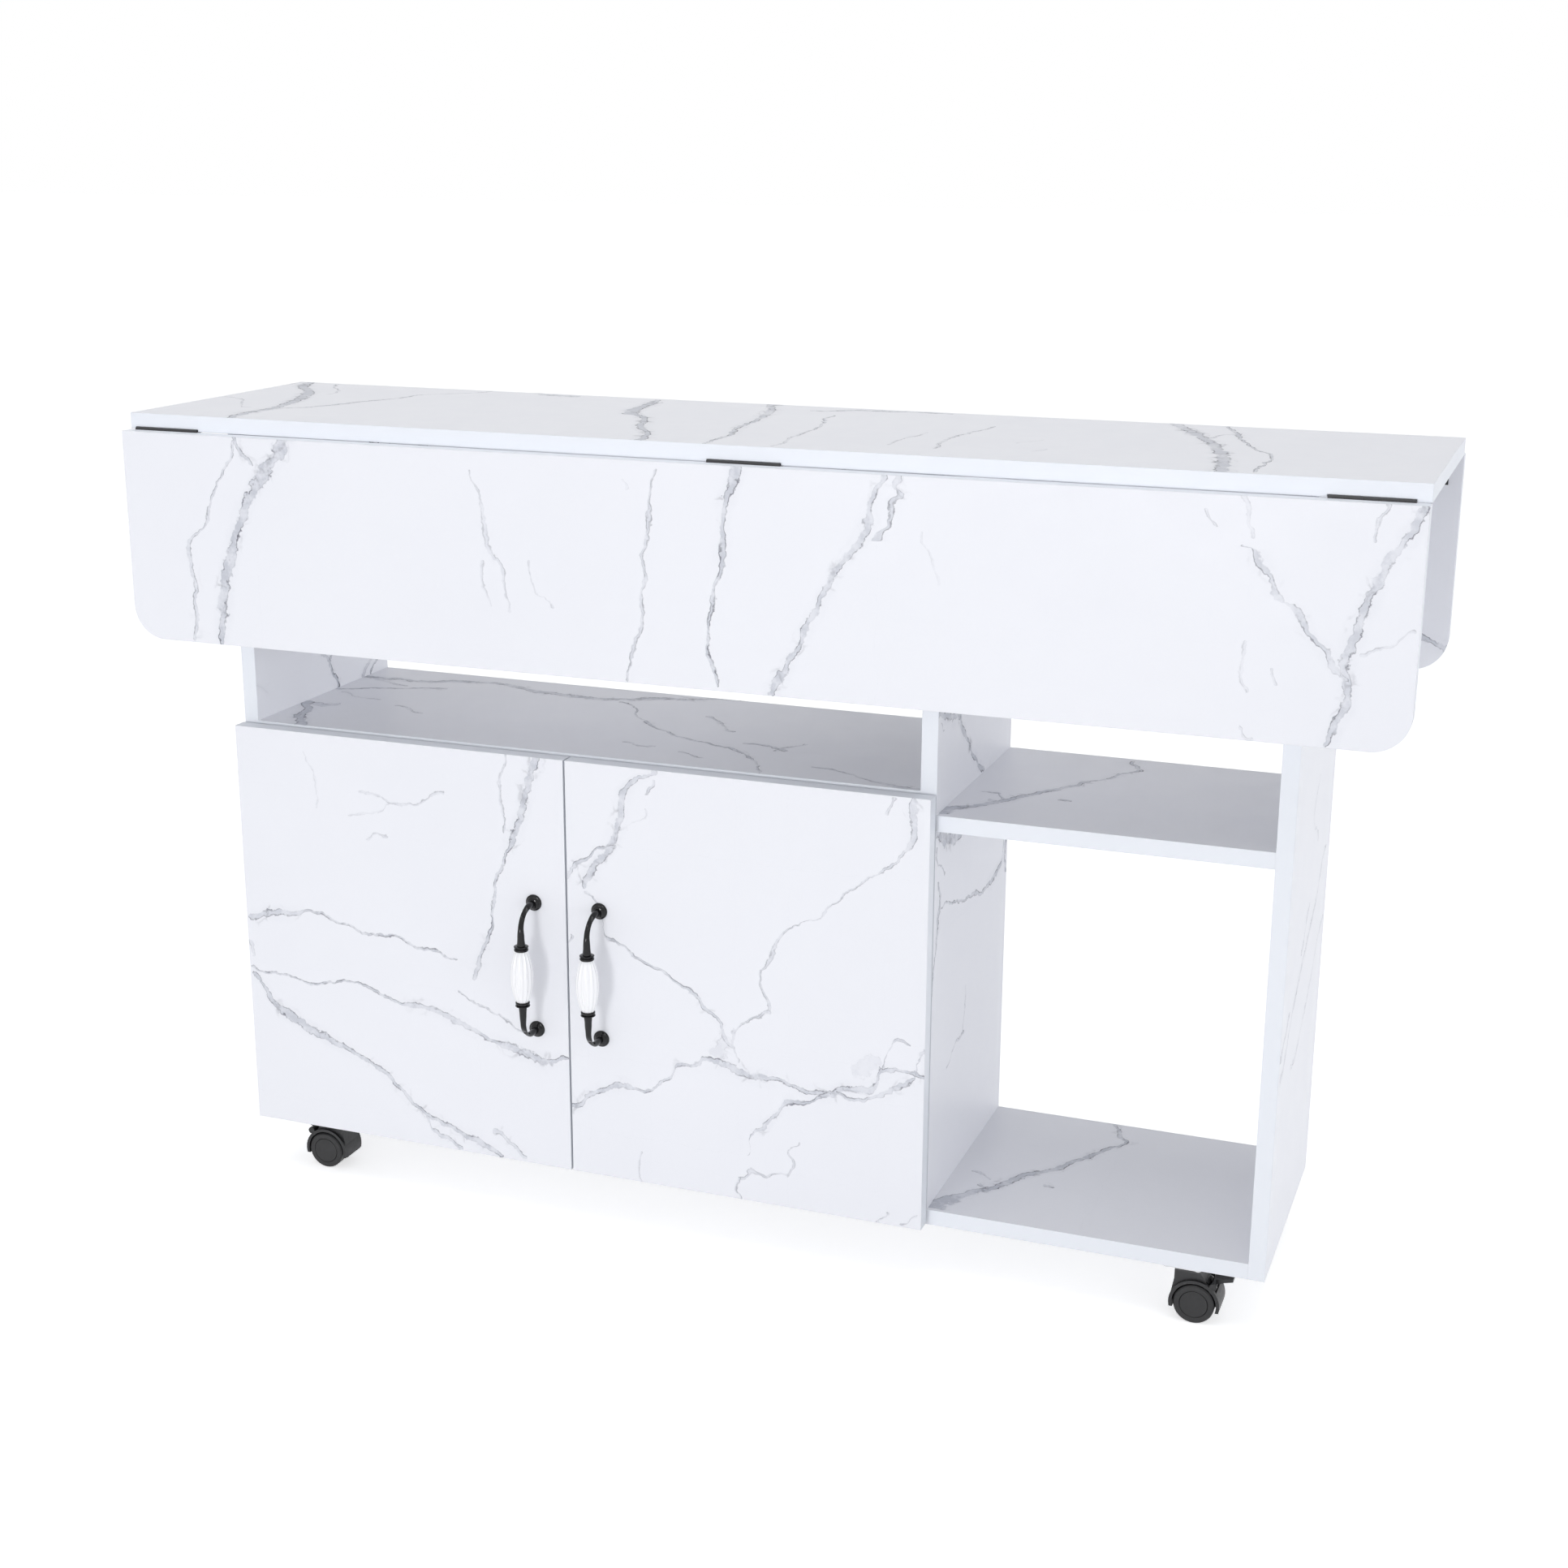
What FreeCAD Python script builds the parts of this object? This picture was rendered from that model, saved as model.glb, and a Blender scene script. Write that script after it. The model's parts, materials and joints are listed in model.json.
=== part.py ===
import FreeCAD, Part
import math
import os

V = FreeCAD.Vector

# ---------------------------------------------------------------- driving dimensions, mm
TOP_L = 1200.0          # length of the top along X
TOP_D = 300.0           # depth of the fixed top along Y
BOARD = 15.0            # laminated board
PANEL_H = 700.0         # height of the upright panels
CASTER_H = 55.0         # floor to the underside of the body
END_OVER = 90.0         # overhang of the top beyond each side panel
SIDE_OVER = 25.0        # overhang of the top in front of the body and behind it
BAY_W = 296.5           # clear width of the open bay on the right
TRAY_TOP = 417.0        # upper face of the tray shelf above the body's underside
BAY_SHELF_TOP = 396.0   # upper face of the right shelf above the body's underside
LEAF_W = 199.0          # width of a drop leaf
LEAF_R = 32.0           # radius of its two free corners
LEAF_GAP = 1.0          # joint line between the top and a raised leaf

HINGE_LEFT = 40.0       # centre of the left leaf hinge from the top's left end
HINGE_MID = 26.0        # middle hinge to the right of the top's middle
HINGE_RIGHT = 46.0      # right hinge from the top's right end
HINGE_L = 68.0          # length of a leaf hinge
HINGE_W = 28.0          # width of one hinge flap
FLAP_T = 1.2            # thickness of a hinge flap
BARREL_R = 2.0          # hinge knuckle
HINGE_PIN_R = 0.9
BARREL_PARTS = 5        # knuckles in one hinge
BARREL_ROOM = 0.3       # cove round a knuckle

STAY_L = 125.0          # leaf stay, pivot to tip centre
STAY_R = 8.0            # half width of the stay bar and its tip radius
STAY_T = 6.0            # thickness of the stay bar
STAY_IN = 35.0          # pivot of a stay behind the leaf's hinge line
STAY_TURN = 120.0       # swing of a stay, degrees
STAY_PIN_R = 3.0
STAY_HEAD = 2.0         # pin's head and collar beyond the pin
STAY_PLAY = 0.2         # end play of a stay on its pin
STAY_SLOT = 6.0         # width of the slot along a stay
STAY_SLOT_IN = 22.0     # its ends from the pivot and from the tip's centre
COLLAR_T = 0.3          # collar under a stay
PIN_HEAD_T = 1.5
BRACKET_T = 2.0         # plate of a stay bracket
BRACKET_W = 17.0
BRACKET_UP = 40.0       # plate above the pivot
BRACKET_LOW = 9.0       # and below it
BRACKET_SCREW = 18.0    # lower screw above the pivot
BRACKET_PITCH = 14.0    # between its screws
LEAF_REST = 0.2         # raised leaf above a stay's tip
STOP_L = 18.0           # stop block under a leaf, square
STOP_H = 4.0            # and its height
STOP_CLEAR = 1.2        # gap from a stay's tip to the stop block

DOOR_GAP = 3.0          # door back to the front edges of the body
DOOR_LIFT = 2.0         # door's lower edge above the body's underside
SEAM = 2.0              # gap between the two doors
AXIS_IN = 6.7           # door pivot in from the door's outer edge
AXIS_UP = 7.5           # door pivot in from the door's back face
CUP_R = 17.5            # bore for the hinge cup
CUP_DEPTH = 11.5
CUP_EDGE = 3.0          # edge of the bore to the door's outer edge
CUP_WALL = 0.6
CUP_PIN_R = 1.1
HINGE_INSET = 80.0      # door hinge centre from the door's end
CUP_RIM = 0.5           # cup's flange beyond its bore
CUP_RIM_T = 0.9
CUP_FIT = 0.1           # cup short of the bore's floor
WING_W = 12.0           # screw wings of the cup
WING_H = 58.0
WING_SCREW = 24.0       # their screws from the hinge centre
EAR_IN = 3.8            # cup's ears, from the hinge centre
EAR_OUT = 8.0
EYE_R = 2.3             # eye of a hinge arm
EYE_H = 7.0
ARM_T = 6.0             # channel of a hinge arm
ARM_W = 11.0
ARM_L = 45.0
ARM_START = 9.0         # its front end behind the panel's front edge
LEG_T = 4.0             # cranked leg
LEG_OFF = 0.8           # leg off the panel's inner face
ARM_PLATE_T = 2.0       # mounting plate
ARM_PLATE_L = 30.0
ARM_PLATE_H = 40.0
ARM_PLATE_IN = 22.0     # its front edge behind the panel's front edge
ARM_SCREW = 14.0        # its screws from the hinge centre
BUMPER_R = 4.0
BUMPER_IN = 20.0        # door bumpers from the seam

PULL_C = 128.0          # pull, hole centres
PULL_OUT = 29.0         # grip axis in front of the door
PULL_SIDE = 34.0        # pull from the seam between the doors
PULL_BEND = 9.0         # bend radius of a leg's centre line
GRIP_R = 11.0           # ceramic grip at its middle
GRIP_END_R = 6.0        # and at its ends
GRIP_HALF = 25.4        # half its length
GRIP_FLUTES = 14
FLUTE_R = 3.0
FLUTE_DEPTH = 0.6
ROSE_R = 8.0            # domed foot of a leg
ROSE_H = 4.5
STEM_R = 3.6            # leg at its foot
NECK_R = 2.9            # and round its bend
FERRULE_R = 6.75        # turned collar against the grip
FERRULE_H = 6.4
FERRULE = ((0, 0), (0.93, 0), (1, 0.11), (1, 0.34), (0.92, 0.44), (0.84, 0.48), (0.92, 0.55), (0.92, 0.77),
           (0.8, 0.88), (0.65, 1), (0, 1))   # its outline, as shares of radius and height
STUD_R = 2.5            # stud through the grip
STUD_IN = 4.0           # stud into the upper leg
PULL_BOLT_R = 2.0
PULL_BOLT_HEAD_R = 4.0
PULL_BOLT_HEAD_H = 2.2
PULL_BOLT_IN = 9.0      # bolt into a leg

WHEEL_R = 18.5
WHEEL_W = 12.2          # width of one of the twin wheels
WEB_T = 7.0             # hood web between the wheels
HOOD_R = 23.0           # outer radius of the hood over the wheels
HOOD_WALL = 3.0
HOOD_HALF = 15.6        # half width of the hood
HOOD_SKIRT = 5.5        # hood's lower rim below the axle
TRAIL = 12.0            # axle behind the swivel axis
CASTER_END = 74.0       # swivel axes in from the side panels' outer faces
CASTER_SIDE = 21.0      # and in from the body's front and back edges
PLATE = 38.0            # square top plate of a caster
PLATE_T = 2.0
PLATE_R = 5.0           # its corner radius, and its screws from the edges
KING_R = 4.0            # king pin
KING_LOW = 38.0         # lower end of the king pin above the floor
KING_FOOT = 1.0         # its riveted foot beyond the pin
KING_FOOT_T = 1.5
AXLE_R = 3.0
AXLE_IN = 10.0          # axle into each wheel
HUB_R = 8.5             # web round the axle
BOSS_R = 8.0            # web round the king pin
NECK_HALF = 13.0        # half width of the hood's neck
NECK_ROUND = 3.0
NECK_IN = 4.0           # neck's outer side in from the hood's
NECK_TOP = 22.0         # its length along the top
NECK_FOOT = 11.0        # where it runs into the hood, from the axle
HOOD_TOP_GAP = 0.6      # neck under the plate's screw heads
BOSS_GAP = 0.3          # boss under the plate
LEVER_AT = 50.0         # brake pivot round the axle from the level, degrees
LEVER_OUT = 2.5         # brake pivot outside the hood
LEVER_R = 2.6           # brake barrel
LEVER_HALF = 12.0
LEVER_ROOM = 0.4        # slot in the hood at each end of the barrel
LEVER_POCKET = 7.4      # radius of the slot
LEVER_LUG = 3.4
TRUNNION_R = 1.5
PEDAL_REACH = 32.5      # pedal's tip from the axle
PEDAL_HALF = 5.0
PEDAL_RISE = 6.2        # tip above the pivot
PEDAL_T = 3.2
LOBE = 6.7              # tip of the brake's cam lobe from its pivot
LOBE_AT = 248.0         # direction of the lobe with the brake off, degrees
LOBE_ROOT = 2.2
LOBE_TIP = 1.3
WHEEL_GAP = 0.5         # web to a wheel
RIM_T = 3.2
DISC_T = 2.6            # outer disc of a wheel
WHEEL_HUB_R = 6.0
WHEEL_ROUND = 1.1
GROOVE_R = 12.8         # ring groove in a wheel's face
GROOVE_T = 0.5
RIBS = 4
RIB_T = 1.5

CAM_R = 7.4             # cam lock
CAM_T = 12.0
CAM_IN = 25.0           # cam centre from the mating board's face
CAM_Y = 70.0            # cams in front of and behind the middle
CAM_MOUTH = 3.7         # half height of the cam's mouth
CAM_HEAD_R = 3.4        # head of a cam bolt
CAM_HEAD_L = 3.0
BOLT_R = 2.5            # cam bolt
BOLT_IN = 11.0          # cam bolt's thread in the mating board

SCREW_R = 1.5
SCREW_L = 12.0
SCREW_HEAD_R = 3.0
SCREW_HEAD_H = 1.6

RUN = 0.05              # radial running clearance of every pin in its hole
SEAT = 0.05             # radial clearance of every fixed pin or cam in its hole

# ---------------------------------------------------------------- derived sizes
Z0 = CASTER_H                               # underside of the body
ZT = Z0 + PANEL_H                           # underside of the top
XO = TOP_L / 2 - END_OVER                   # outer face of the side panels
XI = XO - BOARD                             # inner face of the side panels
XD1 = XI - BAY_W                            # right face of the divider
XD0 = XD1 - BOARD                           # left face of the divider
YB = TOP_D / 2 - SIDE_OVER                  # front and back edges of the body
AY = -TOP_D / 2 - LEAF_GAP / 2              # hinge line of the front leaf
YDB = -YB - DOOR_GAP                        # back face of the doors
YDF = YDB - BOARD                           # front face of the doors
DOOR_Z0 = Z0 + DOOR_LIFT
DOOR_Z1 = Z0 + TRAY_TOP - DOOR_LIFT
DOOR_ZM = (DOOR_Z0 + DOOR_Z1) / 2
XS = (XD1 - XO) / 2                         # seam between the doors
FRONT = -(YDF - PULL_OUT - GRIP_R)          # reach of the pulls in front of the body's middle
BACK = -AY + BOARD                          # reach of the back leaf behind it
YC = (FRONT - BACK) / 2                     # body's middle in the part's frame
HINGE_X = (HINGE_LEFT - TOP_L / 2, HINGE_MID, TOP_L / 2 - HINGE_RIGHT)
TURN = math.radians(STAY_TURN)
STAY_DROP = STAY_R + LEAF_REST - STAY_L * math.cos(TURN)   # pivot of a stay below the hinge line
STAY_OFF = BRACKET_T + COLLAR_T + STAY_PLAY  # stay off the side panel
STAY_Y = AY + STAY_IN
STAY_Z = ZT - STAY_DROP
SWIVEL_X = XO - CASTER_END
SWIVEL_Y = YB - CASTER_SIDE


# ---------------------------------------------------------------- helpers
def box(x0, x1, y0, y1, z0, z1):
    return Part.makeBox(x1 - x0, y1 - y0, z1 - z0, V(x0, y0, z0))


def rod(p, d, r, length):
    return Part.makeCylinder(r, length, p, d)


def mirror_y(shape):
    return shape.mirror(V(0, 0, 0), V(0, 1, 0))


def mirror_x(shape):
    return shape.mirror(V(0, 0, 0), V(1, 0, 0))


def moved(shape, x, y, z):
    s = shape.copy()
    s.translate(V(x, y, z))
    return s


def put(shape, p, xd, zd):
    """Carry a shape from its local axes to the point p with local +X along xd and +Z along zd."""
    yd = zd.cross(xd)
    m = FreeCAD.Matrix(xd.x, yd.x, zd.x, p.x, xd.y, yd.y, zd.y, p.y, xd.z, yd.z, zd.z, p.z, 0, 0, 0, 1)
    s = shape.copy()
    s.Placement = FreeCAD.Placement(m).multiply(s.Placement)
    return s


def fuse(shapes):
    s = shapes[0]
    for t in shapes[1:]:
        s = s.fuse(t)
    return s.removeSplitter()


def cut(shape, cutters):
    s = shape
    for c in cutters:
        s = s.cut(c)
    return s


def prism_xz(points, y0, y1):
    """Polygon drawn in X and Z, carried from y0 to y1."""
    wire = Part.makePolygon([V(x, y0, z) for x, z in points + points[:1]])
    return Part.Face(wire).extrude(V(0, y1 - y0, 0))


def prism_yz(points, x0, x1):
    """Polygon drawn in Y and Z, carried from x0 to x1."""
    wire = Part.makePolygon([V(x0, y, z) for y, z in points + points[:1]])
    return Part.Face(wire).extrude(V(x1 - x0, 0, 0))


def lathe(points, p, axis):
    """Profile of (radius, height) pairs turned round the axis through p."""
    wire = Part.makePolygon([V(r, 0, h) for r, h in points + points[:1]])
    s = Part.Face(wire).revolve(V(0, 0, 0), V(0, 0, 1), 360)
    side = V(0, 1, 0) if abs(axis.y) < 0.5 else V(1, 0, 0)
    return put(s, p, side, axis)


def screw(p, d):
    """Pan head screw with the underside of its head at p, driven along d."""
    head = rod(p - d * SCREW_HEAD_H, d, SCREW_HEAD_R, SCREW_HEAD_H)
    return head.fuse(rod(p, d, SCREW_R, SCREW_L))


def screw_hole(p, d):
    return rod(p - d * 0.5, d, SCREW_R + SEAT, SCREW_L + 1.0)


def save(node, shapes):
    """Write a node's solids, carried from the body's middle to the part's origin."""
    solids = []
    for s in shapes:
        solids += s.Solids
    s = solids[0] if len(solids) == 1 else Part.makeCompound(solids)
    s = moved(s, 0, YC, 0)
    s.exportStep("parts/" + node + ".step")


# ---------------------------------------------------------------- leaf hinges
def barrel_span(i):
    """Start and length of knuckle i along a hinge."""
    step = HINGE_L / BARREL_PARTS
    return -HINGE_L / 2 + i * step + 0.1, step - 0.2


def hinge_flap(parity):
    """A flap lying under z = 0 from its knuckles on the X axis towards +Y."""
    clear = BARREL_R + BARREL_ROOM
    flap = box(-HINGE_L / 2, HINGE_L / 2, clear, HINGE_W, -FLAP_T, 0)
    parts = [flap]
    for i in range(parity, BARREL_PARTS, 2):
        x, length = barrel_span(i)
        parts.append(rod(V(x, 0, 0), V(1, 0, 0), BARREL_R, length))
        parts.append(box(x, x + length, 0, clear, -FLAP_T, 0))
    bore = rod(V(-HINGE_L, 0, 0), V(1, 0, 0), HINGE_PIN_R + RUN, 2 * HINGE_L)
    return fuse(parts).cut(bore)


def flap_screws(x):
    """Screw seats of a flap on its hinge at x, as distances along the hinge and from its axis."""
    return [(x - HINGE_L / 3, HINGE_W * 0.62), (x + HINGE_L / 3, HINGE_W * 0.62)]


def top_flaps():
    """Front flaps under the top, their screws and their pilot holes."""
    flaps, screws, holes = [], [], []
    for x in HINGE_X:
        flap = moved(hinge_flap(0), x, AY, ZT)
        for sx, sy in flap_screws(x):
            seat = V(sx, AY + sy, ZT - FLAP_T)
            screws.append(screw(seat, V(0, 0, 1)))
            holes.append(screw_hole(seat, V(0, 0, 1)))
            flap = flap.cut(holes[-1])
        flaps.append(flap)
    return flaps, screws, holes


def leaf_flaps():
    """Front leaf's flaps on its inner face, their screws and their pilot holes."""
    flaps, screws, holes = [], [], []
    down = put(hinge_flap(1), V(0, 0, 0), V(-1, 0, 0), V(0, -1, 0))
    for x in HINGE_X:
        flap = moved(down, x, AY, ZT)
        for sx, sy in flap_screws(x):
            seat = V(sx, AY + FLAP_T, ZT - sy)
            screws.append(screw(seat, V(0, -1, 0)))
            holes.append(screw_hole(seat, V(0, -1, 0)))
            flap = flap.cut(holes[-1])
        flaps.append(flap)
    return flaps, screws, holes


def hinge_pins():
    pins = []
    for x in HINGE_X:
        pins.append(rod(V(x - HINGE_L / 2, AY, ZT), V(1, 0, 0), HINGE_PIN_R, HINGE_L))
    return pins


def hinge_coves():
    """Shallow grooves in the arrises of the top and the leaf that clear the knuckles."""
    coves = []
    for x in HINGE_X:
        coves.append(rod(V(x - HINGE_L / 2 - 0.5, AY, ZT), V(1, 0, 0), BARREL_R + BARREL_ROOM, HINGE_L + 1))
    return coves


# ---------------------------------------------------------------- leaf stays
def keeper():
    """Stop block of the front leaf at the left stay, with its screw and hole."""
    reach = STAY_L * math.sin(TURN) - STAY_IN
    touch = math.sqrt((STAY_R + STOP_CLEAR) ** 2 - (STAY_R + LEAF_REST - STOP_H) ** 2)
    near = ZT - reach - touch
    far = near - STOP_L
    x = -XI + STAY_OFF + STAY_T / 2
    block = prism_yz([(AY, far), (AY, near), (AY + STOP_H, near), (AY + STOP_H, far + STOP_H)],
                     x - STOP_L / 2, x + STOP_L / 2)
    seat = V(x, AY + STOP_H, (near + far + STOP_H) / 2)
    return block.cut(screw_hole(seat, V(0, -1, 0))), screw(seat, V(0, -1, 0)), screw_hole(seat, V(0, -1, 0))


def stay_bracket():
    """Front left bracket: plate on the side panel with a riveted pivot pin."""
    x = -XI
    right = V(1, 0, 0)
    outer = STAY_OFF + STAY_T + STAY_PLAY
    plate = box(x, x + BRACKET_T, STAY_Y - BRACKET_W / 2, STAY_Y + BRACKET_W / 2,
                STAY_Z - BRACKET_LOW, STAY_Z + BRACKET_UP)
    pin = rod(V(x, STAY_Y, STAY_Z), right, STAY_PIN_R, outer + STAY_PLAY)
    head = rod(V(x + outer, STAY_Y, STAY_Z), right, STAY_PIN_R + STAY_HEAD, PIN_HEAD_T)
    collar = rod(V(x, STAY_Y, STAY_Z), right, STAY_PIN_R + STAY_HEAD, BRACKET_T + COLLAR_T)
    body = fuse([plate, pin, head, collar])
    screws, holes = [], []
    for dz in (BRACKET_SCREW, BRACKET_SCREW + BRACKET_PITCH):
        seat = V(x + BRACKET_T, STAY_Y, STAY_Z + dz)
        screws.append(screw(seat, -right))
        holes.append(screw_hole(seat, -right))
        body = body.cut(holes[-1])
    return body, screws, holes


def stay_arm():
    """Front left stay hanging from its pivot."""
    x = -XI + STAY_OFF
    tip = STAY_Z - STAY_L
    half = STAY_SLOT / 2
    bar = box(x, x + STAY_T, STAY_Y - STAY_R, STAY_Y + STAY_R, tip, STAY_Z)
    ends = [rod(V(x, STAY_Y, z), V(1, 0, 0), STAY_R, STAY_T) for z in (STAY_Z, tip)]
    slot = box(x - 1, x + STAY_T + 1, STAY_Y - half, STAY_Y + half, tip + STAY_SLOT_IN, STAY_Z - STAY_SLOT_IN)
    slot = slot.makeFillet(half - 0.1, [e for e in slot.Edges if abs(e.Length - STAY_T - 2) < 0.01])
    bore = rod(V(x - 1, STAY_Y, STAY_Z), V(1, 0, 0), STAY_PIN_R + RUN, STAY_T + 2)
    return fuse([bar] + ends).cut(slot).cut(bore)


# ---------------------------------------------------------------- cam fittings
def cam_fitting():
    """Cam, bolt and their bores; local +Z into the cam's board and +X to the mating board."""
    mid = BOARD / 2
    cam = rod(V(0, 0, 0), V(0, 0, 1), CAM_R, CAM_T)
    cam = cam.cut(box(-1, CAM_R + 1, -CAM_MOUTH, CAM_MOUTH, mid - CAM_MOUTH, mid + CAM_MOUTH))
    head = rod(V(0.5, 0, mid), V(1, 0, 0), CAM_HEAD_R, CAM_HEAD_L)
    shank = rod(V(CAM_HEAD_L, 0, mid), V(1, 0, 0), BOLT_R, CAM_IN + BOLT_IN - CAM_HEAD_L)
    bolt = head.fuse(shank)
    own = rod(V(0, 0, -0.5), V(0, 0, 1), CAM_R + SEAT, CAM_T + 0.8)
    own = own.fuse(rod(V(0, 0, mid), V(1, 0, 0), BOLT_R + SEAT, CAM_IN + 1))
    mate = rod(V(CAM_IN - 1, 0, mid), V(1, 0, 0), BOLT_R + SEAT, BOLT_IN + 1.2)
    return cam, bolt, own, mate


def cam_pair(face, toward, into):
    """Front and back fittings from a point on the board's face midway between them."""
    out = []
    for y in (-CAM_Y, CAM_Y):
        p = face + V(0, y, 0)
        out.append([put(s, p, toward, into) for s in cam_fitting()])
    return out


# ---------------------------------------------------------------- doors
def door_hinge_arm():
    """Cranked arm; X in from the panel's outer face, front along -Y, height from the hinge centre."""
    pin_y = -DOOR_GAP - AXIS_UP
    x = BOARD + ARM_PLATE_T
    half = EYE_H / 2
    plate = box(BOARD, x, ARM_PLATE_IN, ARM_PLATE_IN + ARM_PLATE_L, -ARM_PLATE_H / 2, ARM_PLATE_H / 2)
    arm = box(x, x + ARM_T, ARM_START, ARM_START + ARM_L, -ARM_W / 2, ARM_W / 2)
    arm = arm.makeFillet(ARM_T / 3, [e for e in arm.Edges if abs(e.Length - ARM_L) < 0.01 and
                                     e.CenterOfMass.x > x + ARM_T / 2])
    leg_x = BOARD + LEG_OFF
    leg = box(leg_x, leg_x + LEG_T, pin_y - EYE_R, ARM_START + LEG_T, -half, half)
    hook = box(AXIS_IN, leg_x + LEG_T, pin_y - EYE_R, pin_y + EYE_R, -half, half)
    eye = rod(V(AXIS_IN, pin_y, -half), V(0, 0, 1), EYE_R, EYE_H)
    bore = rod(V(AXIS_IN, pin_y, -EYE_H), V(0, 0, 1), CUP_PIN_R + RUN, 2 * EYE_H)
    body = fuse([plate, arm, leg, hook, eye]).cut(bore)
    screws, holes = [], []
    for z in (-ARM_SCREW, ARM_SCREW):
        seat = V(x, ARM_PLATE_IN + ARM_PLATE_L / 2, z)
        screws.append(screw(seat, V(-1, 0, 0)))
        holes.append(screw_hole(seat, V(-1, 0, 0)))
        body = body.cut(holes[-1])
    return body, screws, holes


def door_hinge_cup():
    """Cup with its flange, ears and pin, in the same local axes as the arm."""
    back = -DOOR_GAP
    pin_y = back - AXIS_UP
    front = V(0, -1, 0)
    cx = CUP_EDGE + CUP_R
    r = CUP_R - SEAT
    depth = CUP_DEPTH - CUP_FIT
    shell = rod(V(cx, back, 0), front, r, depth)
    hollow = rod(V(cx, back + 2, 0), front, r - CUP_WALL, depth - CUP_WALL + 2)
    flange = rod(V(cx, back, 0), -front, CUP_R + CUP_RIM, CUP_RIM_T)
    wings = box(cx - CUP_RIM, cx - CUP_RIM + WING_W, back, back + CUP_RIM_T, -WING_H / 2, WING_H / 2)
    wings = wings.makeFillet(WING_W / 3, [e for e in wings.Edges if abs(e.Length - CUP_RIM_T) < 0.01])
    cup = fuse([shell, flange, wings]).cut(hollow)
    for side in (-1, 1):
        z0, z1 = sorted((side * EAR_IN, side * EAR_OUT))
        ear = box(CUP_EDGE, AXIS_IN + EYE_R, back - depth, pin_y + EYE_R, z0, z1)
        cup = cup.fuse(ear.common(shell))
    pin = rod(V(AXIS_IN, pin_y, -EAR_OUT), V(0, 0, 1), CUP_PIN_R, 2 * EAR_OUT)
    cup = cup.fuse(pin.common(shell)).removeSplitter()
    screws, holes = [], []
    for z in (-WING_SCREW, WING_SCREW):
        seat = V(cx + WING_W / 2 - CUP_RIM, back + CUP_RIM_T, z)
        screws.append(screw(seat, front))
        holes.append(screw_hole(seat, front))
        cup = cup.cut(holes[-1])
    bore = rod(V(cx, back + 0.5, 0), front, CUP_R, CUP_DEPTH + 0.5)
    return cup, screws, holes, bore


def pull_leg():
    """Upper leg of a pull; grip axis on Z, door's front face at +Y, hole centre above."""
    zc = PULL_C / 2
    y = PULL_OUT
    h = GRIP_HALF
    ball = (ROSE_R ** 2 + ROSE_H ** 2) / (2 * ROSE_H)
    low = ball - ROSE_H
    dome = Part.makeSphere(ball, V(0, 0, 0), V(0, 0, 1), math.degrees(math.asin(low / ball)), 90, 360)
    dome = put(dome, V(0, y + low, zc), V(1, 0, 0), V(0, -1, 0))
    root = ROSE_H / 2
    stem = Part.makeCone(STEM_R, NECK_R, y - PULL_BEND - root, V(0, y - root, zc), V(0, -1, 0))
    ring = Part.Face(Part.Wire(Part.makeCircle(NECK_R, V(0, PULL_BEND, zc), V(0, -1, 0))))
    bend = ring.revolve(V(0, PULL_BEND, zc - PULL_BEND), V(1, 0, 0), 90)
    drop = zc - PULL_BEND - h - 0.9 * FERRULE_H
    taper = Part.makeCone(NECK_R, FERRULE[-2][0] * FERRULE_R, drop, V(0, 0, zc - PULL_BEND), V(0, 0, -1))
    ferrule = lathe([(a * FERRULE_R, h + b * FERRULE_H) for a, b in FERRULE], V(0, 0, 0), V(0, 0, 1))
    leg = fuse([dome, stem, bend, taper, ferrule])
    return leg.cut(rod(V(0, y + 1, zc), V(0, -1, 0), PULL_BOLT_R + SEAT, PULL_BOLT_IN + 2))


def pull_legs():
    """The two metal legs; the lower one carries the stud through the grip."""
    upper = pull_leg()
    lower = upper.mirror(V(0, 0, 0), V(0, 0, 1))
    up = V(0, 0, 1)
    upper = upper.cut(rod(V(0, 0, GRIP_HALF - 1), up, STUD_R + SEAT, STUD_IN + 1.5))
    lower = lower.fuse(rod(V(0, 0, -GRIP_HALF - 1), up, STUD_R, 2 * GRIP_HALF + STUD_IN + 1))
    return upper, lower


def pull_grip():
    """Barrel shaped ceramic grip with flutes along it."""
    h = GRIP_HALF
    rise = GRIP_R - GRIP_END_R
    arc_r = (h * h + rise * rise) / (2 * rise)
    far = Part.Arc(V(GRIP_END_R, 0, -h), V(GRIP_R, 0, 0), V(GRIP_END_R, 0, h)).toShape()
    rest = Part.makePolygon([V(GRIP_END_R, 0, h), V(0, 0, h), V(0, 0, -h), V(GRIP_END_R, 0, -h)])
    body = Part.Face(Part.Wire([far] + rest.Edges)).revolve(V(0, 0, 0), V(0, 0, 1), 360)
    groove = Part.makeTorus(arc_r + FLUTE_R - FLUTE_DEPTH, FLUTE_R, V(GRIP_R - arc_r, 0, 0), V(0, 1, 0))
    groove = groove.common(box(0, 3 * GRIP_R, -2 * FLUTE_R, 2 * FLUTE_R, -1.2 * h, 1.2 * h))
    cutters = []
    for i in range(GRIP_FLUTES):
        g = groove.copy()
        g.rotate(V(0, 0, 0), V(0, 0, 1), 360.0 * i / GRIP_FLUTES)
        cutters.append(g)
    return cut(body, cutters).cut(rod(V(0, 0, -h - 1), V(0, 0, 1), STUD_R + 2 * SEAT, 2 * h + 2))


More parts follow.
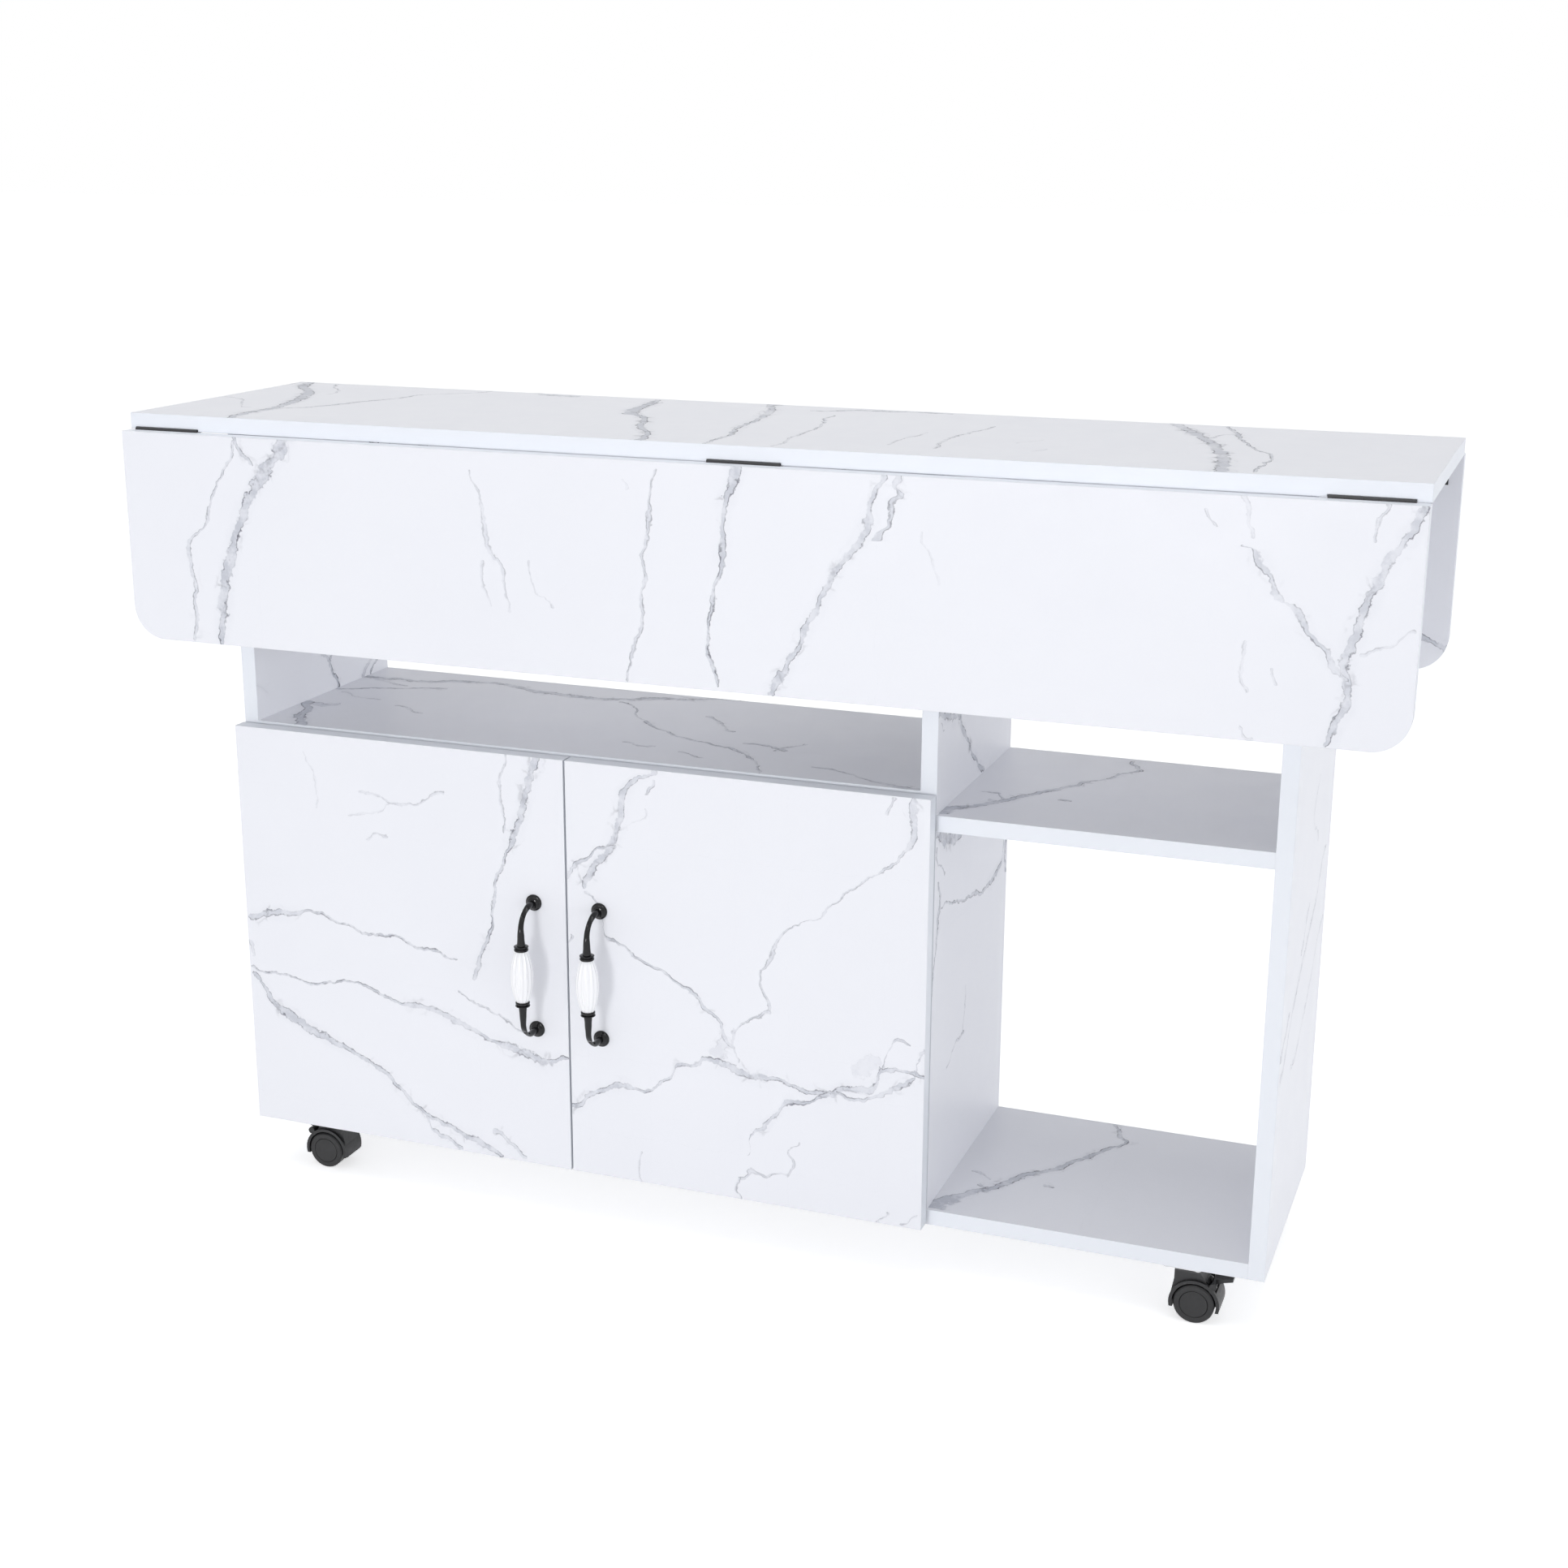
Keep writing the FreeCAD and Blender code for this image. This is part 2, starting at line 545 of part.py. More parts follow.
def pull_bolt():
    """Bolt from inside the door into a leg, with its hole through the door; door back at y = 0."""
    head = rod(V(0, 0, 0), V(0, 1, 0), PULL_BOLT_HEAD_R, PULL_BOLT_HEAD_H)
    shank = rod(V(0, 0, 0), V(0, -1, 0), PULL_BOLT_R, BOARD + PULL_BOLT_IN)
    return head.fuse(shank), rod(V(0, 1, 0), V(0, -1, 0), PULL_BOLT_R + SEAT, BOARD + 2)


def door(side):
    """Door and its hardware; side -1 hangs on the left panel, 1 on the divider."""
    outer = -XO if side < 0 else XD1
    free = XS + side * SEAM / 2
    x0, x1 = sorted((outer, free))
    panel = box(x0, x1, YDF, YDB, DOOR_Z0, DOOR_Z1)
    flip = mirror_x if side > 0 else (lambda s: s)
    arms, arm_screws, arm_holes, cups, screws = [], [], [], [], []
    arm, a_screws, a_holes = door_hinge_arm()
    cup, c_screws, c_holes, bore = door_hinge_cup()
    for z in (DOOR_Z0 + HINGE_INSET, DOOR_Z1 - HINGE_INSET):
        arms.append(moved(flip(arm), outer, -YB, z))
        arm_screws += [moved(flip(s), outer, -YB, z) for s in a_screws]
        arm_holes += [moved(flip(s), outer, -YB, z) for s in a_holes]
        cups.append(moved(flip(cup), outer, -YB, z))
        screws += [moved(flip(s), outer, -YB, z) for s in c_screws]
        panel = cut(panel, [moved(flip(s), outer, -YB, z) for s in c_holes + [bore]])
    xp = XS + side * PULL_SIDE
    legs = [moved(s, xp, YDF - PULL_OUT, DOOR_ZM) for s in pull_legs()]
    grip = moved(pull_grip(), xp, YDF - PULL_OUT, DOOR_ZM)
    bolts = []
    for z in (DOOR_ZM - PULL_C / 2, DOOR_ZM + PULL_C / 2):
        bolt, hole = pull_bolt()
        bolts.append(moved(bolt, xp, YDB, z))
        panel = panel.cut(moved(hole, xp, YDB, z))
    name = "left" if side < 0 else "right"
    save(name + "_door", [panel])
    save(name + "_door_cups", cups)
    save(name + "_door_cup_screws", screws)
    save(name + "_pull_legs", legs)
    save(name + "_pull_grip", [grip])
    save(name + "_pull_bolts", bolts)
    return arms, arm_screws, arm_holes


# ---------------------------------------------------------------- casters
def caster_plate():
    """Top plate with its riveted king pin; swivel axis on Z, floor at z = 0."""
    h = PLATE / 2
    plate = box(-h, h, -h, h, Z0 - PLATE_T, Z0)
    plate = plate.makeFillet(PLATE_R, [e for e in plate.Edges if abs(e.Length - PLATE_T) < 0.01])
    pin = rod(V(0, 0, KING_LOW), V(0, 0, 1), KING_R, Z0 - KING_LOW)
    foot = rod(V(0, 0, KING_LOW), V(0, 0, 1), KING_R + KING_FOOT, KING_FOOT_T)
    body = fuse([plate, pin, foot])
    screws, holes = [], []
    for x in (-h + PLATE_R, h - PLATE_R):
        for y in (-h + PLATE_R, h - PLATE_R):
            seat = V(x, y, Z0 - PLATE_T)
            screws.append(screw(seat, V(0, 0, 1)))
            holes.append(screw_hole(seat, V(0, 0, 1)))
            body = body.cut(holes[-1])
    return body, screws, holes


def lever_pivot():
    """Pivot of the brake lever, as X and height."""
    r = HOOD_R + LEVER_OUT
    a = math.radians(LEVER_AT)
    return TRAIL + r * math.cos(a), WHEEL_R + r * math.sin(a)


def caster_hood(braked):
    """Moulded hood over the twin wheels with its web and swivel boss."""
    e, r = TRAIL, WHEEL_R
    side = V(0, 1, 0)
    up = V(0, 0, 1)
    top = Z0 - PLATE_T - SCREW_HEAD_H - HOOD_TOP_GAP
    w = HOOD_HALF
    fender = rod(V(e, -w, r), side, HOOD_R, 2 * w)
    out = e - HOOD_R + NECK_IN
    neck = prism_xz([(e - HOOD_R, r - HOOD_SKIRT), (e - HOOD_R, r), (out, r + HOOD_R - 1), (out, top),
                     (out + NECK_TOP, top), (e + NECK_FOOT, r + HOOD_R - HOOD_WALL), (e, r)],
                    -NECK_HALF, NECK_HALF)
    neck = neck.makeFillet(NECK_ROUND, [g for g in neck.Edges if abs(g.CenterOfMass.z - top) < 0.01
                                        and abs(g.CenterOfMass.y) > NECK_HALF - 1])
    body = fuse([fender, neck])
    body = body.cut(box(e - 2 * HOOD_R, e + 2 * HOOD_R, -2 * w, 2 * w, -r, r - HOOD_SKIRT))
    for y in (WEB_T / 2, -WEB_T / 2 - 2 * w):
        body = body.cut(rod(V(e, y, r), side, HOOD_R - HOOD_WALL, 2 * w))
    hub = rod(V(e, -WEB_T / 2, r), side, HUB_R, WEB_T)
    boss_z = r + HOOD_R - HOOD_WALL
    boss = rod(V(0, 0, boss_z), up, BOSS_R, Z0 - PLATE_T - BOSS_GAP - boss_z)
    body = fuse([body, hub, boss])
    cutters = [rod(V(0, 0, KING_LOW - 2 * KING_R), up, KING_R + RUN, Z0),
               rod(V(0, 0, KING_LOW - 3), up, KING_R + KING_FOOT + 0.3, KING_FOOT_T + 3.5),
               rod(V(e, -WEB_T, r), side, AXLE_R + SEAT, 2 * WEB_T)]
    if braked:
        px, pz = lever_pivot()
        slot = LEVER_HALF + LEVER_ROOM
        cutters.append(rod(V(px, -slot, pz), side, LEVER_POCKET, 2 * slot))
        for y in (-w, slot):
            body = body.fuse(rod(V(px, y, pz), side, LEVER_LUG, w - slot))
        cutters.append(rod(V(px, -2 * w, pz), side, TRUNNION_R + RUN, 4 * w))
    return cut(body, cutters).removeSplitter()


def brake_lever():
    """Pedal with trunnions and a cam lobe that meets the treads of both wheels."""
    px, pz = lever_pivot()
    trunnion = HOOD_HALF - 0.1
    parts = [rod(V(px, -LEVER_HALF, pz), V(0, 1, 0), LEVER_R, 2 * LEVER_HALF),
             rod(V(px, -trunnion, pz), V(0, 1, 0), TRUNNION_R, 2 * trunnion)]
    tip_x = TRAIL + PEDAL_REACH
    parts.append(prism_xz([(px - 1, pz + LEVER_R - 0.2), (tip_x, pz + PEDAL_RISE),
                           (tip_x, pz + PEDAL_RISE - PEDAL_T), (px + 3 * LEVER_R, pz + LEVER_R / 3),
                           (px + LEVER_R / 2, pz - LEVER_R + 0.5)], -PEDAL_HALF, PEDAL_HALF))
    a = math.radians(LOBE_AT)
    ux, uz = math.cos(a), math.sin(a)
    lobe = []
    for out, half in ((0, -LOBE_ROOT), (0, LOBE_ROOT), (LOBE - 0.8, LOBE_TIP), (LOBE, 0),
                      (LOBE - 0.8, -LOBE_TIP)):
        lobe.append((px + out * ux + half * uz, pz + out * uz - half * ux))
    parts.append(prism_xz(lobe, 0.2 - LEVER_HALF, LEVER_HALF - 0.2))
    return fuse(parts)


def caster_wheel(side):
    """One of the twin wheels: rim, outer disc, ribs and blind hub."""
    y0 = WEB_T / 2 + WHEEL_GAP
    y1 = y0 + WHEEL_W
    r = WHEEL_R
    rim = r - RIM_T
    disc = y1 - DISC_T
    bore = AXLE_R + RUN
    wheel = lathe([(0, y1), (GROOVE_R - GROOVE_T, y1), (GROOVE_R, y1 - GROOVE_T), (GROOVE_R + GROOVE_T, y1),
                   (r - WHEEL_ROUND, y1), (r, y1 - WHEEL_ROUND), (r, y0 + WHEEL_ROUND), (r - WHEEL_ROUND, y0),
                   (rim, y0), (rim, disc), (WHEEL_HUB_R, disc), (WHEEL_HUB_R, y0), (bore, y0), (bore, disc),
                   (0, disc)],
                  V(TRAIL, 0, WHEEL_R), V(0, 1, 0))
    for i in range(RIBS):
        rib = box(WHEEL_HUB_R - 0.5, rim + 0.2, y0 + 2, disc + 0.1, -RIB_T / 2, RIB_T / 2)
        rib.rotate(V(0, 0, 0), V(0, 1, 0), 360.0 * (i + 0.5) / RIBS)
        wheel = wheel.fuse(moved(rib, TRAIL, 0, WHEEL_R))
    wheel = wheel.removeSplitter()
    return wheel if side > 0 else mirror_y(wheel)


def axle():
    return rod(V(TRAIL, -WEB_T / 2 - AXLE_IN, WHEEL_R), V(0, 1, 0), AXLE_R, WEB_T + 2 * AXLE_IN)


def casters():
    """All four casters, trailing outwards; only the front pair has brakes."""
    plates, screws, holes = [], [], []
    for sx, sy, name in ((-1, -1, "front_left"), (1, -1, "front_right"), (-1, 1, "back_left"),
                         (1, 1, "back_right")):
        p = V(sx * SWIVEL_X, sy * SWIVEL_Y, 0)
        out = V(sx, 0, 0)
        up = V(0, 0, 1)
        plate, s, h = caster_plate()
        plates.append(put(plate, p, out, up))
        screws += [put(t, p, out, up) for t in s]
        holes += [put(t, p, out, up) for t in h]
        save(name + "_caster_hood", [put(caster_hood(sy < 0), p, out, up)])
        save(name + "_caster_axle", [put(axle(), p, out, up)])
        for side, tag in ((-sx, "front"), (sx, "back")):
            save(name + "_wheel_" + tag, [put(caster_wheel(side), p, out, up)])
        if sy < 0:
            save(name + "_brake_lever", [put(brake_lever(), p, out, up)])
    return plates, screws, holes


# ---------------------------------------------------------------- leaves
def leaves():
    """Both leaves with their flaps, stops and screws; returns the knuckle grooves for the top."""
    panel = box(-TOP_L / 2, TOP_L / 2, AY - BOARD, AY, ZT - LEAF_GAP / 2 - LEAF_W, ZT - LEAF_GAP / 2)
    low = ZT - LEAF_GAP / 2 - LEAF_W
    panel = panel.makeFillet(LEAF_R, [e for e in panel.Edges if abs(e.Length - BOARD) < 0.01 and
                                      abs(e.CenterOfMass.z - low) < 0.01])
    flaps, screws, holes = leaf_flaps()
    block, block_screw, block_hole = keeper()
    blocks = [block, mirror_x(block)]
    screws += [block_screw, mirror_x(block_screw)]
    holes += [block_hole, mirror_x(block_hole)]
    panel = cut(panel, hinge_coves() + holes)
    for name, turn in (("front", lambda s: s), ("back", mirror_y)):
        save(name + "_leaf", [turn(panel)])
        save(name + "_leaf_flaps", [turn(s) for s in flaps])
        save(name + "_leaf_stops", [turn(s) for s in blocks])
        save(name + "_leaf_screws", [turn(s) for s in screws])


def stays():
    """Four brackets with their screws and holes, and the four stays."""
    bracket, screws, holes = stay_bracket()
    arm = stay_arm()
    brackets, all_screws, all_holes = [], [], []
    for row, turn_y in (("front", lambda s: s), ("back", mirror_y)):
        for col, turn_x in (("left", lambda s: s), ("right", mirror_x)):
            brackets.append(turn_x(turn_y(bracket)))
            all_screws += [turn_x(turn_y(s)) for s in screws]
            all_holes += [turn_x(turn_y(s)) for s in holes]
            save(row + "_stay_" + col, [turn_x(turn_y(arm))])
    save("stay_brackets", brackets)
    return all_screws, all_holes


# ---------------------------------------------------------------- body
def body_boards():
    """Plain boards of the body, by node."""
    tray0, shelf0 = Z0 + TRAY_TOP - BOARD, Z0 + BAY_SHELF_TOP - BOARD
    return {
        "top_panel": box(-TOP_L / 2, TOP_L / 2, -TOP_D / 2, TOP_D / 2, ZT, ZT + BOARD),
        "left_side_panel": box(-XO, -XI, -YB, YB, Z0, ZT),
        "right_side_panel": box(XI, XO, -YB, YB, Z0, ZT),
        "divider_panel": box(XD0, XD1, -YB, YB, Z0, ZT),
        "tray_shelf": box(-XI, XD0, -YB, YB, tray0, tray0 + BOARD),
        "cabinet_bottom": box(-XI, XD0, -YB, YB, Z0, Z0 + BOARD),
        "right_shelf": box(XD1, XI, -YB, YB, shelf0, shelf0 + BOARD),
        "right_bottom": box(XD1, XI, -YB, YB, Z0, Z0 + BOARD),
        "back_panel": box(-XI, XD0, YB - BOARD, YB, Z0 + BOARD, tray0),
    }


def join_boards(boards):
    """Bore the boards for their cam fittings and return the cams and bolts."""
    up, left, right = V(0, 0, 1), V(-1, 0, 0), V(1, 0, 0)
    tray0, shelf0 = Z0 + TRAY_TOP - BOARD, Z0 + BAY_SHELF_TOP - BOARD
    runs = []
    for node, z, ends in (("tray_shelf", tray0, ("left_side_panel", "divider_panel")),
                          ("cabinet_bottom", Z0, ("left_side_panel", "divider_panel")),
                          ("right_shelf", shelf0, ("divider_panel", "right_side_panel")),
                          ("right_bottom", Z0, ("divider_panel", "right_side_panel"))):
        x0, x1 = boards[node].BoundBox.XMin, boards[node].BoundBox.XMax
        y = -2 * BOARD if node.startswith("right") else 0.0
        runs.append((node, ends[0], V(x0 + CAM_IN, y, z), left, up))
        runs.append((node, ends[1], V(x1 - CAM_IN, y, z), right, up))
    runs.append(("left_side_panel", "top_panel", V(-XI, 0, ZT - CAM_IN), up, left))
    runs.append(("divider_panel", "top_panel", V(XD0, 0, ZT - CAM_IN), up, right))
    runs.append(("right_side_panel", "top_panel", V(XI, 0, ZT - CAM_IN), up, right))
    cams, bolts = [], []
    for own_node, mate_node, face, toward, into in runs:
        for cam, bolt, own, mate in cam_pair(face, toward, into):
            cams.append(cam)
            bolts.append(bolt)
            boards[own_node] = boards[own_node].cut(own)
            boards[mate_node] = boards[mate_node].cut(mate)
    return cams, bolts


def bumpers():
    """Soft stops on the body's front edges behind the doors' free corners."""
    out = []
    for z in (Z0 + BOARD / 2, Z0 + TRAY_TOP - BOARD / 2):
        for side in (-1, 1):
            out.append(rod(V(XS + side * BUMPER_IN, -YB, z), V(0, -1, 0), BUMPER_R, DOOR_GAP - 0.1))
    return out


def main():
    os.makedirs("parts", exist_ok=True)
    boards = body_boards()
    cams, bolts = join_boards(boards)

    flaps, flap_screw_list, flap_holes = top_flaps()
    coves = hinge_coves()
    both = lambda shapes: shapes + [mirror_y(s) for s in shapes]
    boards["top_panel"] = cut(boards["top_panel"], both(flap_holes) + both(coves))
    leaves()

    stay_screws, stay_holes = stays()
    arms, arm_screws, arm_holes = [], [], []
    for side in (-1, 1):
        a, s, h = door(side)
        arms += a
        arm_screws += s
        arm_holes += h
    plates, caster_screws, caster_holes = casters()

    for node in ("left_side_panel", "right_side_panel", "divider_panel"):
        boards[node] = cut(boards[node], [h for h in stay_holes + arm_holes
                                          if h.BoundBox.intersect(boards[node].BoundBox)])
    for node in ("cabinet_bottom", "right_bottom"):
        boards[node] = cut(boards[node], [h for h in caster_holes
                                          if h.BoundBox.intersect(boards[node].BoundBox)])
    for node in boards:
        save(node, [boards[node]])
    save("cam_locks", cams)
    save("cam_bolts", bolts)
    save("top_flaps", both(flaps))
    save("hinge_pins", both(hinge_pins()))
    save("body_screws", both(flap_screw_list) + stay_screws + arm_screws + caster_screws)
    save("door_hinge_arms", arms)
    save("door_bumpers", bumpers())
    save("caster_plates", plates)


main()
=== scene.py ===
import json
import math

import bmesh
import bpy
from mathutils import Matrix, Vector


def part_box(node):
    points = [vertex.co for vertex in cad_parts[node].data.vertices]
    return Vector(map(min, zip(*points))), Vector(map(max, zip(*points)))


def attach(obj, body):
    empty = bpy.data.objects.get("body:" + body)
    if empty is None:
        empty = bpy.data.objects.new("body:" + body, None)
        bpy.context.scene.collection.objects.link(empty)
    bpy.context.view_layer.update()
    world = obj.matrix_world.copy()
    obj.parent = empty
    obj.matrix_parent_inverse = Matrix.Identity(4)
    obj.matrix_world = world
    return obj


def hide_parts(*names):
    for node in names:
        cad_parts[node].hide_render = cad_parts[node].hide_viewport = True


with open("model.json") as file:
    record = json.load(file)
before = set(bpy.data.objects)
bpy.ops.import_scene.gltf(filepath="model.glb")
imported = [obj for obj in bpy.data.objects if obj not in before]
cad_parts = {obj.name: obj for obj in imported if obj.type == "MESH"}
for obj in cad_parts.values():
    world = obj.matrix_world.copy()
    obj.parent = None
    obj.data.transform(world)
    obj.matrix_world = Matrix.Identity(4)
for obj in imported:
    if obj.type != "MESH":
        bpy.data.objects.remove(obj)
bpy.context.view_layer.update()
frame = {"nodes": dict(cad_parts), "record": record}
NODES = frame["nodes"]
MM = 0.001

# ---------------------------------------------------------------- camera, metres and degrees
CAMERA_AT = Vector((0.74623, -1.96763, 1.02916))
CAMERA_TURN = 20.4686      # swung towards +X
CAMERA_RISE = 15.9383      # above the horizon
CAMERA_ROLL = 0.2818
FOCAL_PIXELS = 2813.61
IMAGE_PIXELS = 1932
SENSOR = 36.0

# ---------------------------------------------------------------- light, metres and watts
WORLD_HIGH = 0.44          # light from overhead
WORLD_LOW = 0.62           # and from the horizon
LOW_TOP = 0.6              # sine of the height where the horizon's light ends
GLOW_LEFT = 0.55           # more light close above the horizon on the left
GLOW_RIGHT = 3.2           # and on the right
GLOW_WAY = (-0.4, 0.9)     # X of the directions between which it grows from one to the other
GLOW_TOP = 0.3             # sine of the height where that light ends
WORLD_TINT = (0.97, 0.985, 1.02, 1)     # colour of that light, though the backdrop itself shows white
FLOOR_SIZE = 60.0
FLOOR_GLOW = 0.60          # what the floor adds for the camera
FLOOR_SPECK = (5.0, 3.0)   # scale and detail of its noise
FLOOR_SHADE = (0.90, 0.90, 0.90, 1)
FLOOR_LIGHT = (0.93, 0.93, 0.93, 1)
FLOOR_ROUGH = 0.9
# The key lamp stands low in front, a little to the left, and the other one hangs over the table.
KEY = {"place": (-0.5, -4.5, 0.6), "target": (0, 0, 0.45), "size": (0.9, 0.9), "power": 43.0}
OVERHEAD = {"place": (0, -0.4, 4.0), "target": (0, 0, 0.7), "size": (3.0, 3.0), "power": 43.0}
# Fills under the top: the shelf below, the shares of its width where the lamp starts and ends, its power.
TRAY_FILL = ("tray_shelf", 0.05, 0.80, 0.19)
BAY_FILL = ("right_shelf", 0.05, 0.75, 0.11)
FILL_DEPTH = 0.7           # share of the shelf's depth

# ---------------------------------------------------------------- marble colours
FACE_LIGHT = (0.862, 0.868, 0.905, 1)
FACE_CLOUD = (0.812, 0.820, 0.865, 1)
BAND = (0.835, 0.860, 0.905, 1)      # edge banding
VEIN_SOFT = (0.55, 0.565, 0.62, 1)
VEIN_DARK = (0.13, 0.13, 0.16, 1)

# ---------------------------------------------------------------- marble pattern, metres
# A noise is given as scale, detail, roughness and distortion, as far as they matter. A fade is given as
# the two values between which it runs.
MAX_WIDTH = 32.0           # widest vein, mm
SHAKES = ((20.0, 0.010), (62.0, 0.0085), (190.0, 0.0034))    # noise scale, and how far it shifts a place
SHAKE_DETAIL = 2.0
FRAY = (130.0, 4.0, 0.6)
FRAY_FADE = (0.2, 0.8)
FRAY_UPRIGHT = 0.8         # how far the sides of a vein fray, in half widths, on upright boards
FRAY_FLAT = 0.45           # and on flat ones, which are seen at a slant
SWING = (24.0, 2.0)        # decides which side of a vein has the dark line
SWING_MIDDLE = 0.48
SWING_FADE = (-0.09, 0.05)
SWING_RANGE = (0.1, 1.0)
BAND_FADE = (0.65, 1.25)   # off the course of a vein, in half widths
LINE_AT = 0.8              # off the course, in half widths
LINE_FADE = (0.0002, 0.0009)
LEAST_HALF = 0.00002
LEAST_WIDTH = 0.01         # share of the widest vein below which no line is drawn
HALO = 0.009               # reach of the faint cracks beside a vein
HALO_FADE = (0.4, 1.0)
HALO_WIDE = (0.0012, 0.0035)    # half widths between which veins come to have cracks
HALO_SOFT = 0.12
CRACK_SCALE = 48.0
CRACK_FADE = (0.02, 0.08)
CRACK_AREAS = (27.0, 2.0)
CRACK_AREAS_FADE = (0.48, 0.56)
CRACK_DARK = 0.32
STRAY = (2.3, 6.0, 0.52, 0.9)
STRAY_AREAS = (1.7, 2.0)
STRAY_AREAS_FADE = (0.50, 0.62)
STRAY_BAND = (0.003, 0.016)
STRAY_LINE = (0.0006, 0.0035)
STRAY_STRENGTH = 0.8
GRAIN = (46.0, 4.0, 0.65)
FINE = (170.0, 3.0, 0.6)
FINE_SHARE = 0.5
SOFT_FADE = (0.58, 0.90)   # how the grain breaks up bands
SOFT_RANGE = (0.40, 1.0)
DARK_FADE = (0.60, 0.86)   # and lines
DARK_RANGE = (0.16, 0.92)
CLOUD = (3.2, 3.0, 0.55)
CLOUD_FADE = (0.35, 0.75)
CLOUD_SHARE = 0.30
SPECK = (620.0, 2.0)
SPECK_FADE = (0.35, 0.70)
SPECK_SHARE = 0.10
BAND_SPECK_FADE = (0.3, 0.7)
BAND_SPECK_SHARE = 0.12
BROAD_FROM = 0.7           # a face is broad when its normal's part along the thin axis is above this
ROUND_EDGE = 0.0006
BOARD_RELIEF = (0.10, 0.0003)   # strength and depth
BOARD_GLOSS = 0.35
BOARD_ROUGH = (0.3, 0.7, 0.36, 0.46)    # from these grain values to these roughnesses

# ---------------------------------------------------------------- plain materials
PLAIN_GRAIN = (4.0, 0.6)   # detail and roughness of the noise
WIDE_SHARE = 0.12          # scale of the noise in the colour against that of the grain
WIDE_DETAIL = 3.0
WIDE_FADE = (0.3, 0.7)
ROUGH_FADE = (0.25, 0.75)
ROUGH_WANDER = 0.15
COAT_ROUGH = 0.06
RELIEF_DEPTH = 0.0002

# ---------------------------------------------------------------- marble veins
# Courses of the veins as read in the photo. Each vein has its strength, then its points:
# pixels across and down in the photo's frame, and the width there in mm.
LEAF_VEINS = (
    (1, (346, 540, 15), (327, 580, 15), (312, 604, 13), (300, 630, 10), (291, 652, 9), (284, 682, 10),
     (279, 708, 10), (276, 734, 10), (276, 760, 8), (273, 793, 6)),
    (0.8, (289, 537, 4), (297, 556, 5), (310, 573, 3)),
    (0.6, (288, 545, 3), (278, 578, 3), (267, 598, 3), (258, 626, 3), (250, 650, 3), (239, 664, 4),
     (234, 676, 4), (238, 699, 4), (241, 725, 4), (242, 751, 4), (243, 773, 4), (239, 788, 5)),
    (0.35, (577, 580, 2), (588, 604, 2), (596, 634, 3), (598, 665, 4), (605, 682, 4), (620, 704, 3),
     (623, 734, 2), (629, 756, 2)),
    (0.3, (594, 691, 2), (596, 717, 2), (603, 747, 2)),
    (0.3, (650, 691, 2), (655, 717, 2), (661, 732, 2), (681, 749, 2)),
    (0.55, (808, 576, 2), (800, 611, 2), (800, 637, 3), (793, 667, 2.5), (790, 687, 3), (793, 706, 3),
     (792, 737, 3), (790, 763, 2.5), (782, 793, 2.5), (777, 819, 2), (774, 840, 2)),
    (0.9, (906, 571, 11), (902, 594, 9), (895, 618, 7), (892, 646, 5), (891, 672, 5), (889, 698, 4),
     (882, 724, 3), (877, 758, 3), (871, 789, 3), (873, 806, 3), (878, 823, 3), (884, 848, 2)),
    (0.85, (1090, 580, 6), (1077, 607, 5), (1072, 628, 5), (1070, 646, 9), (1058, 667, 10),
     (1044, 687, 10), (1029, 706, 8), (1018, 728, 7), (1006, 750, 7), (995, 771, 7), (986, 793, 5),
     (975, 812, 6), (962, 836, 9), (953, 858, 6)),
    (0.7, (1106, 583, 4), (1101, 602, 6), (1110, 607, 6), (1098, 622, 5), (1096, 646, 3), (1081, 667, 7)),
    (0.8, (1758, 619, 7), (1744, 646, 7), (1729, 669, 9), (1715, 691, 10), (1700, 717, 10),
     (1688, 736, 7), (1680, 755, 10), (1672, 778, 9), (1665, 797, 8), (1659, 816, 10), (1659, 835, 10),
     (1660, 854, 7), (1654, 877, 8), (1644, 896, 7), (1634, 924, 4)),
    (0.35, (1532, 606, 5), (1539, 634, 4), (1545, 662, 2)),
    (0.7, (1534, 674, 4), (1548, 677, 5), (1555, 698, 5), (1569, 720, 4), (1577, 739, 6), (1588, 741, 5),
     (1596, 749, 6), (1608, 771, 6), (1620, 787, 6), (1632, 798, 5), (1641, 813, 7), (1648, 826, 7),
     (1657, 838, 6)),
    (0.4, (1712, 620, 2.5), (1700, 643, 2.5), (1694, 666, 2.5)),
    (0.3, (1747, 779, 2.5), (1718, 795, 2.5), (1699, 800, 2.5), (1680, 808, 2.5)),
    (0.3, (1486, 629, 2.5), (1497, 650, 2.5)),
    (0.25, (1534, 790, 2.5), (1529, 838, 2.5), (1536, 851, 2.5)),
    (0.3, (1568, 824, 2.5), (1571, 846, 2.5)),
    (0.3, (1525, 895, 4), (1531, 905, 4), (1542, 912, 4)),
    (0.25, (765, 592, 2), (772, 603, 2)),
    (0.15, (1135, 655, 2), (1150, 690, 2), (1155, 720, 2)),
)
